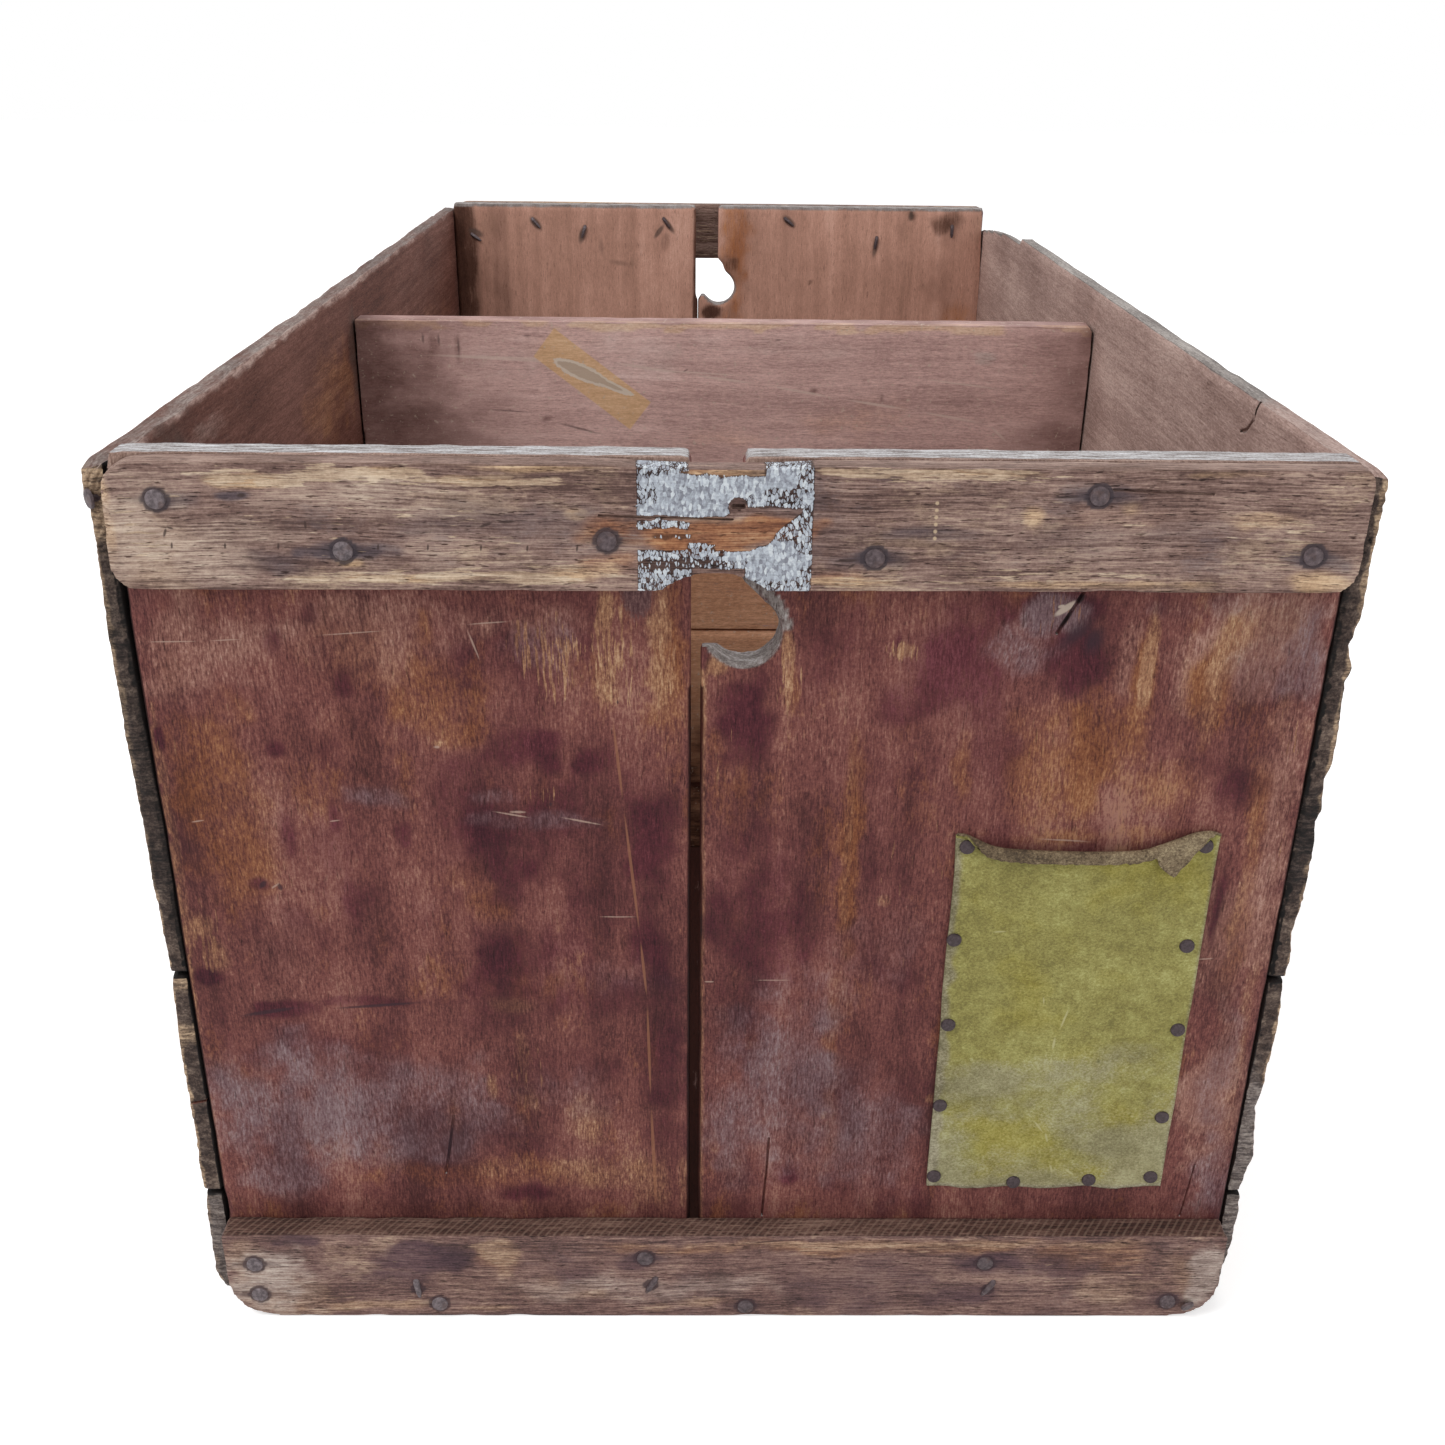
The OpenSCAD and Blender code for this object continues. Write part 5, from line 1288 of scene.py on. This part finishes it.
def nail_group(name, base, spots, material, slot, node, seed):
    """Copies of one nail, each a little crooked, joined into one piece."""
    dice = np.random.default_rng(seed)
    copies = []
    for matrix, drop, clinch in spots:
        copy = base.copy()
        copy.data = base.data.copy()
        bpy.context.scene.collection.objects.link(copy)
        p = read(copy.data.vertices, "co") / MM
        tilt = dice.uniform(-0.06, 0.06, 2)
        head = 1 - smooth(p[:, 1], 0.5, 3)
        p[:, 1] += head * (p[:, 0] * tilt[0] + p[:, 2] * tilt[1]) + np.where(p[:, 1] < 10, drop, clinch)
        turn = np.array(matrix.to_3x3())
        write(copy, p @ turn.T + np.array(matrix.translation))
        copies.append(copy)
    only(*copies)
    bpy.ops.object.join()
    piece = copies[0]
    piece.name = piece.data.name = name
    give(piece, material, slot, node)
    return piece


def batten_spot(board, out, x, z, turn=0.0, lift=0.0):
    """A nail through a batten, seated on its worn face and sunk a little; its tip points as turned."""
    face = out * (HALF_L + BATTEN_T)
    drop = seat(board, (x, face, z), (0, -out, 0)) + 0.3
    if out > 0:
        turn = 180 - turn
    return turned((x, face, z), 90 + 90 * out, turn, lift), drop, -0.7


# The places of the nails on each end, and which way their tips are bent over.
TOP_NAILS = {
    "front": [(*spot, turn) for spot, turn in zip(HEADS, (200, 340, 250, 285, 235, 300))],
    "back": [(-178, 317, -34), (-134, 328, -50), (-96.5, 323, -108), (-40, 329, -55), (47, 330, -39),
             (113.7, 317.5, -99), (167.6, 326, -90)],
}
LOW_NAILS = [(*spot, turn) for spot, turn in zip(LOW_HEADS, (200, 340, 250, 60))]
INSIDE_NAILS = ((-118.9, 18, -97), (-27.0, 19.5, -62), (103, 17.8, -58))

# Old wire nails, oxidised iron: dull mauve grey with darker pitting, brown patches and a sheen that varies in spots.
iron = Finish("oxidised_iron")
spots = iron.mottle(1.5, 4.0, 0.65, 1)
iron.lay(1.0, ("#423a3d", "#5c5255", "#766b6e", "#91868a"), spots)
# Those to the right of the upper batten's middle are blacker.
place = add(iron.tree, "SeparateXYZ", {0: iron.mm}, "X")
blacker = add(iron.tree, "MapRange", {"Value": place, "From Min": -75, "From Max": -50})
outermost = add(iron.tree, "MapRange", {"Value": place, "From Min": -188, "From Max": -192})
blacker = add(iron.tree, "Math", {0: blacker, 1: outermost}, operation="MAXIMUM")
iron.lay(blacker, ("#2e2528", "#433639", "#56484b", "#6f6265"), spots, most=0.85)
iron.lay(iron.mottle(4.5, 3.0, 0.6, 2), "#5c443c", 0.5, (0.52, 0.68), 0.4)
iron.height = iron.total((spots, 1.0), (iron.mottle(0.6, 2.0, 0.6, 3), 0.5))
iron_rough = add(iron.tree, "MapRange", {"Value": spots, "From Min": 0.3, "From Max": 0.7, "To Min": 0.7,
                                         "To Max": 0.45})
oxidised_iron = iron.finish(iron_rough, 0.07, 0.5, 0.35)

for end in ("front", "back"):
    out = -1 if end == "front" else 1
    upper, lower = BATTENS[end + "_top_batten"], BATTENS[end + "_low_batten"]
    spots = [batten_spot(upper, out, *nail) for nail in TOP_NAILS[end]]
    nail_group(end + "_upper_nails", clinched, spots, oxidised_iron, "nail", end + "_top_batten_nails", 5)
    spots = [batten_spot(lower, out, *nail) for nail in LOW_NAILS]
    nail_group(end + "_lower_nails", clinched, spots, oxidised_iron, "nail", end + "_low_batten_nails", 6)
    spots = [batten_spot(lower, out, x, z, 0, lift) for x, z, lift in PLANK_HEADS]
    nail_group(end + "_plank_nails", straight, spots, oxidised_iron, "nail", end + "_low_batten_nails", 7)
    spots = []
    for x, z, turn in INSIDE_NAILS:
        depth = seat(lower, (x, out * (HALF_L + BATTEN_T), z), (0, -out, 0))
        spots.append((turned((x, out * (HALF_L - END_T), z), 90 - 90 * out, turn), 0.3, -depth - 1.3))
    nail_group(end + "_inner_nails", clinched, spots, oxidised_iron, "nail", end + "_inside_nails", 8)

# A small nail has been driven askew beside the last one, and its head leans.
spots = [(turned((179.3, -361.6, 6.2), 14, 0, 20), 0.0, 0.0)]
nail_group("front_askew_nail", small_tack, spots, oxidised_iron, "nail", "front_low_batten_nails", 13)

for side, word in ((-1, "left"), (1, "right")):
    spots = []
    rows = [(y, z) for y in (-345.15, 345.15) for z in (26, 73.6, 128.4, 175.8, 249.6, 319.7)]
    rows += [(-1, z) for z in (26, 73.6, 128.4, 175.8, 249.6)]
    rows += [(y, PLANK_T / 2) for y in (-263.6, -140.6, 116, 253.1)]
    for y, z in rows:
        place = (side * (HALF_W + SIDE_T), y, z)
        level = "low" if z < 52 else "middle" if z < 150 else "top"
        drop = seat(WALLS[f"{word}_side_{level}_board"], place, (-side, 0, 0)) + 0.45
        spots.append((turned(place, side * 90), drop, 0.0))
    if side < 0:
        # The uppermost nail at the front has gone in from the end of the board.
        spots[5] = (turned((-196.9, -351.2, 323.5), -46), 0.0, 0.0)
    nail_group(word + "_wall_nails", straight, spots, oxidised_iron, "nail", word + "_side_nails", 9 + side)

spots = [(turned((x + dx, y, 1.35), 0) @ Matrix.Rotation(math.pi / 2, 4, "X"), 0.0, 0.0)
         for x in (-PLANK_STEP, 0, PLANK_STEP) for dx in (-34.63, 34.63) for y in (-345.15, -1, 345.15)]
nail_group("base_nails", straight, spots, oxidised_iron, "nail", "bottom_nails", 12)


# Card pocket and its tacks

POCKET_X, POCKET_Z, POCKET_W, POCKET_H = 75.5, 57.8, 89.0, 151.0
CLOTH_T = 1.1
FOLD_R = 1.2
ROWS_UP, ROWS_TURN, ROWS_TAIL = 150, 9, 14
COLS = 110
ROWS = ROWS_UP + ROWS_TURN + ROWS_TAIL


def mouth_height(u):
    """The pocket's upper edge: drawn up at the corners, sagging between them."""
    return 145.6 + 5.2 * np.exp(-((u / 0.1) ** 2)) + 6.4 * smooth(u, 0.68, 0.96) - 0.8 * smooth(u, 0.96, 1)


def fold_length(u):
    """How far the mouth is folded down outside, with a torn flap hanging near the right corner."""
    band = 2.0 * smooth(u, 0.0, 0.14)
    flap = np.interp(u, (0.755, 0.775, 0.84, 0.955, 1.0), (0, 5.5, 12.5, 0.6, 0))
    return 0.25 + np.where(u < 0.76, band * (1 - 0.3 * smooth(u, 0.66, 0.74)), flap)


def sheet_shape(u, row):
    """The sheet's middle surface: across, off the board, up; row counts along its length."""
    from_side = np.clip((u * POCKET_W - 8) / (POCKET_W - 16), 0, 1)
    over = np.sin(math.pi * from_side)
    over = np.where(from_side > 0.5, over * 0.9 + 0.1 * over**2, over)
    full = np.clip(smooth(u, 0.0, 0.1) * smooth(1 - u, 0.0, 0.06), 0, 1)
    mouth = mouth_height(u)
    v = np.clip(row / ROWS_UP, 0, 1)
    bulge = 3.4 * over * np.clip((v * POCKET_H - 8) / (POCKET_H - 8), 0, 1) ** 1.8
    turn_end = np.radians(20 + 162 * full)
    share = np.clip((row - ROWS_UP) / ROWS_TURN, 0, 1)
    angle = turn_end * share
    tail = fold_length(u) * np.clip((row - ROWS_UP - ROWS_TURN) / ROWS_TAIL, 0, 1)
    off = bulge + FOLD_R * (1 - np.cos(angle)) + tail * np.sin(turn_end)
    up = v * mouth + FOLD_R * np.sin(angle) + tail * np.cos(turn_end)
    return off, up


bpy.ops.mesh.primitive_grid_add(x_subdivisions=COLS, y_subdivisions=ROWS, size=1)
pocket = settle("oilcloth_pocket")
flat = read(pocket.data.vertices, "co")
u = flat[:, 0] + 0.5
row = np.rint((flat[:, 1] + 0.5) * ROWS)
off, up = sheet_shape(u, row)
x = POCKET_X + u * POCKET_W
z = POCKET_Z + up
spot = np.column_stack([x, np.zeros_like(x), z])
free = smooth(u, 0.03, 0.16) * smooth(1 - u, 0.03, 0.16) * smooth(up, 6, 24)
off += free * (0.45 * ripple(spot, 30, 3) + 0.25 * ripple(spot, 13, 4)) + 0.12 * ripple(spot, 3.4, 5)
creases = (((120.5, 141), (118, 130), (116.5, 118)), ((112.5, 90), (117.5, 83), (119.5, 76.5)),
           ((132, 88), (142, 84), (150, 86)), ((100, 74), (118, 70), (140, 73), (158, 80)),
           ((118, 69), (121, 62)), ((126, 66), (133, 61)))
for i, line in enumerate(creases):
    away = gap_to(spot[:, [0, 2]], line)
    off += (0.7 if i < 2 else -0.5) * np.exp(-((away / (1.2 if i < 2 else 3.5)) ** 2))
# The edges wander between the tacks, and the lower edge hangs in shallow scallops.
low_edge = 1 - smooth(up, 0, 12)
hang = 1.3 * np.sin(math.pi * np.mod((x - 79.5) / 27.0, 1)) ** 2 + 0.3 * ripple(spot, 3, 6)
z -= low_edge * np.clip(hang, -0.4, 2) * smooth(u, 0.05, 0.12) * smooth(1 - u, 0.03, 0.1)
side_edge = np.maximum(1 - smooth(u, 0, 0.06), smooth(u, 0.94, 1))
x += side_edge * 0.5 * ripple(spot, (60, 60, 16), 7)
x += (row >= ROWS_UP + ROWS_TURN) * 0.4 * ripple(spot, 2.2, 9)
z += (row == ROWS) * 0.5 * ripple(spot, 1.3, 10)
off = np.maximum(off, 0.0)
write(pocket, np.column_stack([x, -HALF_L - CLOTH_T / 2 - off, z]))
only(pocket)
bpy.ops.object.mode_set(mode="EDIT")
bpy.ops.mesh.select_all(action="SELECT")
bpy.ops.mesh.normals_make_consistent(inside=False)
bpy.ops.object.mode_set(mode="OBJECT")
edge_wear = np.maximum(1 - smooth(u + 0.02 * ripple(spot, 6, 12), 0.0, 0.055), 0.5 * smooth(u, 0.975, 1.0))
edge_wear = np.maximum(edge_wear, 0.8 * (1 - smooth(up, 0, 3)))
lay_on(pocket, "grey", edge_wear * (row < ROWS_UP))
middle, ways = surface(pocket)
flip = np.median(ways[row < 20][:, 1]) > 0
if flip:
    only(pocket)
    bpy.ops.object.mode_set(mode="EDIT")
    bpy.ops.mesh.select_all(action="SELECT")
    bpy.ops.mesh.flip_normals()
    bpy.ops.object.mode_set(mode="OBJECT")
    middle, ways = surface(pocket)
modify(pocket, "SOLIDIFY", thickness=CLOTH_T * MM, offset=0.0)
p, n = surface(pocket)
count = len(middle)
tiled = np.vstack([middle] * (len(p) // count))
facing = np.sum((p - tiled) * np.vstack([ways] * (len(p) // count)), axis=1)
lay_on(pocket, "bare", (facing < 0).astype(float))
pocket.data.polygons.foreach_set("use_smooth", np.ones(len(pocket.data.polygons), bool))

# Oilcloth, coated cotton gone matt: olive yellow, with a felt-like nap and a grey green back.
cloth = Finish("aged_oilcloth")
nap = cloth.mottle((1.1, 1.1, 0.8), 4.0, 0.7, 1)
fuzz = cloth.mottle(0.55, 3.0, 0.7, 2)
patches = cloth.mottle((34, 34, 26), 5.0, 0.6, 3)
value = cloth.total((nap, 1.1), (fuzz, 0.8), (patches, 0.8), (cloth.mottle(5.5, 3.0, 0.6, 8), 0.6))
cloth.lay(1.0, ("#777040", "#8d854b", "#9d985a", "#b5b074"), value)
yellow = cloth.total((cloth.mottle(40, 3.0, 0.5, 4), 1.0), (patches, 0.5))
cloth.lay(yellow, ("#776e2c", "#8c8239", "#9e9347", "#b1a760"), value, (0.5, 0.66), 0.75)
low = add(cloth.tree, "SeparateXYZ", {0: cloth.mm}, "Z")
low = add(cloth.tree, "MapRange", {"Value": low, "From Min": 140, "From Max": 80})
dull = cloth.total((cloth.mottle((46, 46, 30), 4.0, 0.55, 6), 1.0), (nap, 0.3), (low, 0.35))
cloth.lay(dull, ("#797357", "#8c866b", "#9d977c", "#b1ad92"), value, (0.5, 0.68), 0.7)
cloth.lay(cloth.worn("grey", nap), ("#635c48", "#7e7662", "#99917b", "#b6ae97"), value, (0.1, 0.8), 0.8)
cloth.lay(cloth.worn("bare", 0.5), ("#44382c", "#655541", "#83725a", "#a89878"), value)
creased = cloth.strokes([(120.5, 141, 118, 130, 0.5), (117, 128, 116.5, 121, 0.6), (116.5, 119, 116.8, 114, 0.5),
                         (112.5, 90, 117.5, 83, 0.6), (117.8, 84, 119.5, 78, 0.6), (90, 171.5, 96, 172, 0.4),
                         (121, 69, 123, 63, 0.7), (126, 67, 132, 62, 0.8), (111, 145, 111.5, 141, 0.4)],
                        -HALF_L - 3, "Y", 6.0)
cloth.lay(creased, "#bdb78a", 0.5, (0.05, 0.6), 0.7)
specks = cloth.strokes([(133, 116, 135, 116.3, 1.4), (98, 113, 98.6, 111.5, 0.7), (154, 69, 155, 69.3, 0.7),
                        (78, 192, 80, 191, 0.8)], -HALF_L - 3, "Y", 6.0)
cloth.lay(specks, "#5d5a33", 0.5, (0.05, 0.7), 0.7)
cloth.height = cloth.total((nap, 1.0), (fuzz, 0.8))
aged_oilcloth = cloth.finish(0.78, 0.28, 0.25)

# Tack heads, blackened iron with a purple brown bloom.
black = Finish("blackened_iron")
bloom = black.mottle(1.0, 4.0, 0.65, 5)
black.lay(1.0, ("#241b1e", "#372b2e", "#483c3f", "#605558"), bloom)
black.height = bloom
blackened_iron = black.finish(0.55, 0.25, 0.5, 0.4)

TACKS = ((79.3, 204.8), (77.6, 167.7), (78.2, 131.8), (77.8, 95.8), (77.9, 62.6), (108.2, 59.8), (136.7, 60.9),
         (160, 62.4), (160.6, 90.6), (161.1, 130), (159.4, 165.6), (160.2, 205.6))
tack_spots = [(turned((x, -HALF_L - CLOTH_T - 0.1, z), 0), 0.0, 0.0) for x, z in TACKS]
tacks = nail_group("iron_tacks", small_tack, tack_spots, blackened_iron, "tack", "pocket_tacks", 15)
give(pocket, aged_oilcloth, "pocket", "card_pocket")
for base in (clinched, straight, small_tack):
    bpy.data.objects.remove(base)


# Camera, light and floor

camera_data = bpy.data.cameras.new("camera")
camera = bpy.data.objects.new("camera", camera_data)
bpy.context.scene.collection.objects.link(camera)
bpy.context.scene.camera = camera
camera_data.lens = 37.73
camera_data.sensor_width = 36
camera_data.clip_start = 0.05
pitch, yaw, roll = (math.radians(a) for a in (24.78, 0.884, 0.714))
ahead = Vector((math.sin(yaw) * math.cos(pitch), math.cos(yaw) * math.cos(pitch), -math.sin(pitch)))
flat_right = Vector((math.cos(yaw), -math.sin(yaw), 0))
flat_up = flat_right.cross(ahead)
right = math.cos(roll) * flat_right + math.sin(roll) * flat_up
up = -math.sin(roll) * flat_right + math.cos(roll) * flat_up
turn = Matrix((right, up, -ahead)).transposed()
camera.matrix_world = Matrix.Translation((-0.0109, -0.7992, 0.4567)) @ turn.to_4x4()


def seen_ray(tree):
    """1 for rays from the camera, a reflection or clear glass, and 0 for those that light things."""
    seen = add(tree, "LightPath", {}, "Is Camera Ray")
    for name in ("Is Glossy Ray", "Is Transmission Ray"):
        seen = add(tree, "Math", {0: seen, 1: add(tree, "LightPath", {}, name)}, operation="MAXIMUM")
    return seen


bpy.ops.mesh.primitive_plane_add(size=14, location=(0, 0, -0.0004))
floor = settle("floor")
floor_material = bpy.data.materials.new("pale_studio_floor")
floor_material.use_nodes = True
floor_tree = floor_material.node_tree
shader = floor_tree.nodes["Principled BSDF"]
shader.inputs["Base Color"].default_value = tone("#ececec")
shader.inputs["Roughness"].default_value = 0.9
shader.inputs["Specular IOR Level"].default_value = 0.1
shader.inputs["Emission Color"].default_value = (1, 1, 1, 1)
glow = add(floor_tree, "Math", {0: seen_ray(floor_tree), 1: 0.5}, operation="MULTIPLY")
floor_tree.links.new(glow, shader.inputs["Emission Strength"])
floor.data.materials.append(floor_material)

world = bpy.data.worlds.new("studio")
bpy.context.scene.world = world
world.use_nodes = True
level = add(world.node_tree, "MapRange", {"Value": seen_ray(world.node_tree), "To Min": 0.62, "To Max": 1.0})
background = world.node_tree.nodes["Background"]
background.inputs["Color"].default_value = (1, 1, 1, 1)
world.node_tree.links.new(level, background.inputs["Strength"])

LAMPS = (
    ("key", (-1.5, -0.9, 2.3), 1.3, 34),
    ("fill", (1.9, -1.9, 1.2), 1.6, 12),
    ("back", (0.6, 2.4, 1.5), 1.6, 18),
)
for name, place, size, power in LAMPS:
    lamp = bpy.data.lights.new(name, "AREA")
    lamp.size = size
    lamp.energy = power
    holder = bpy.data.objects.new(name, lamp)
    bpy.context.scene.collection.objects.link(holder)
    holder.location = place
    holder.rotation_euler = (Vector((0, 0, 0.15)) - Vector(place)).to_track_quat("-Z", "Y").to_euler()

bpy.context.scene.view_settings.view_transform = "Standard"
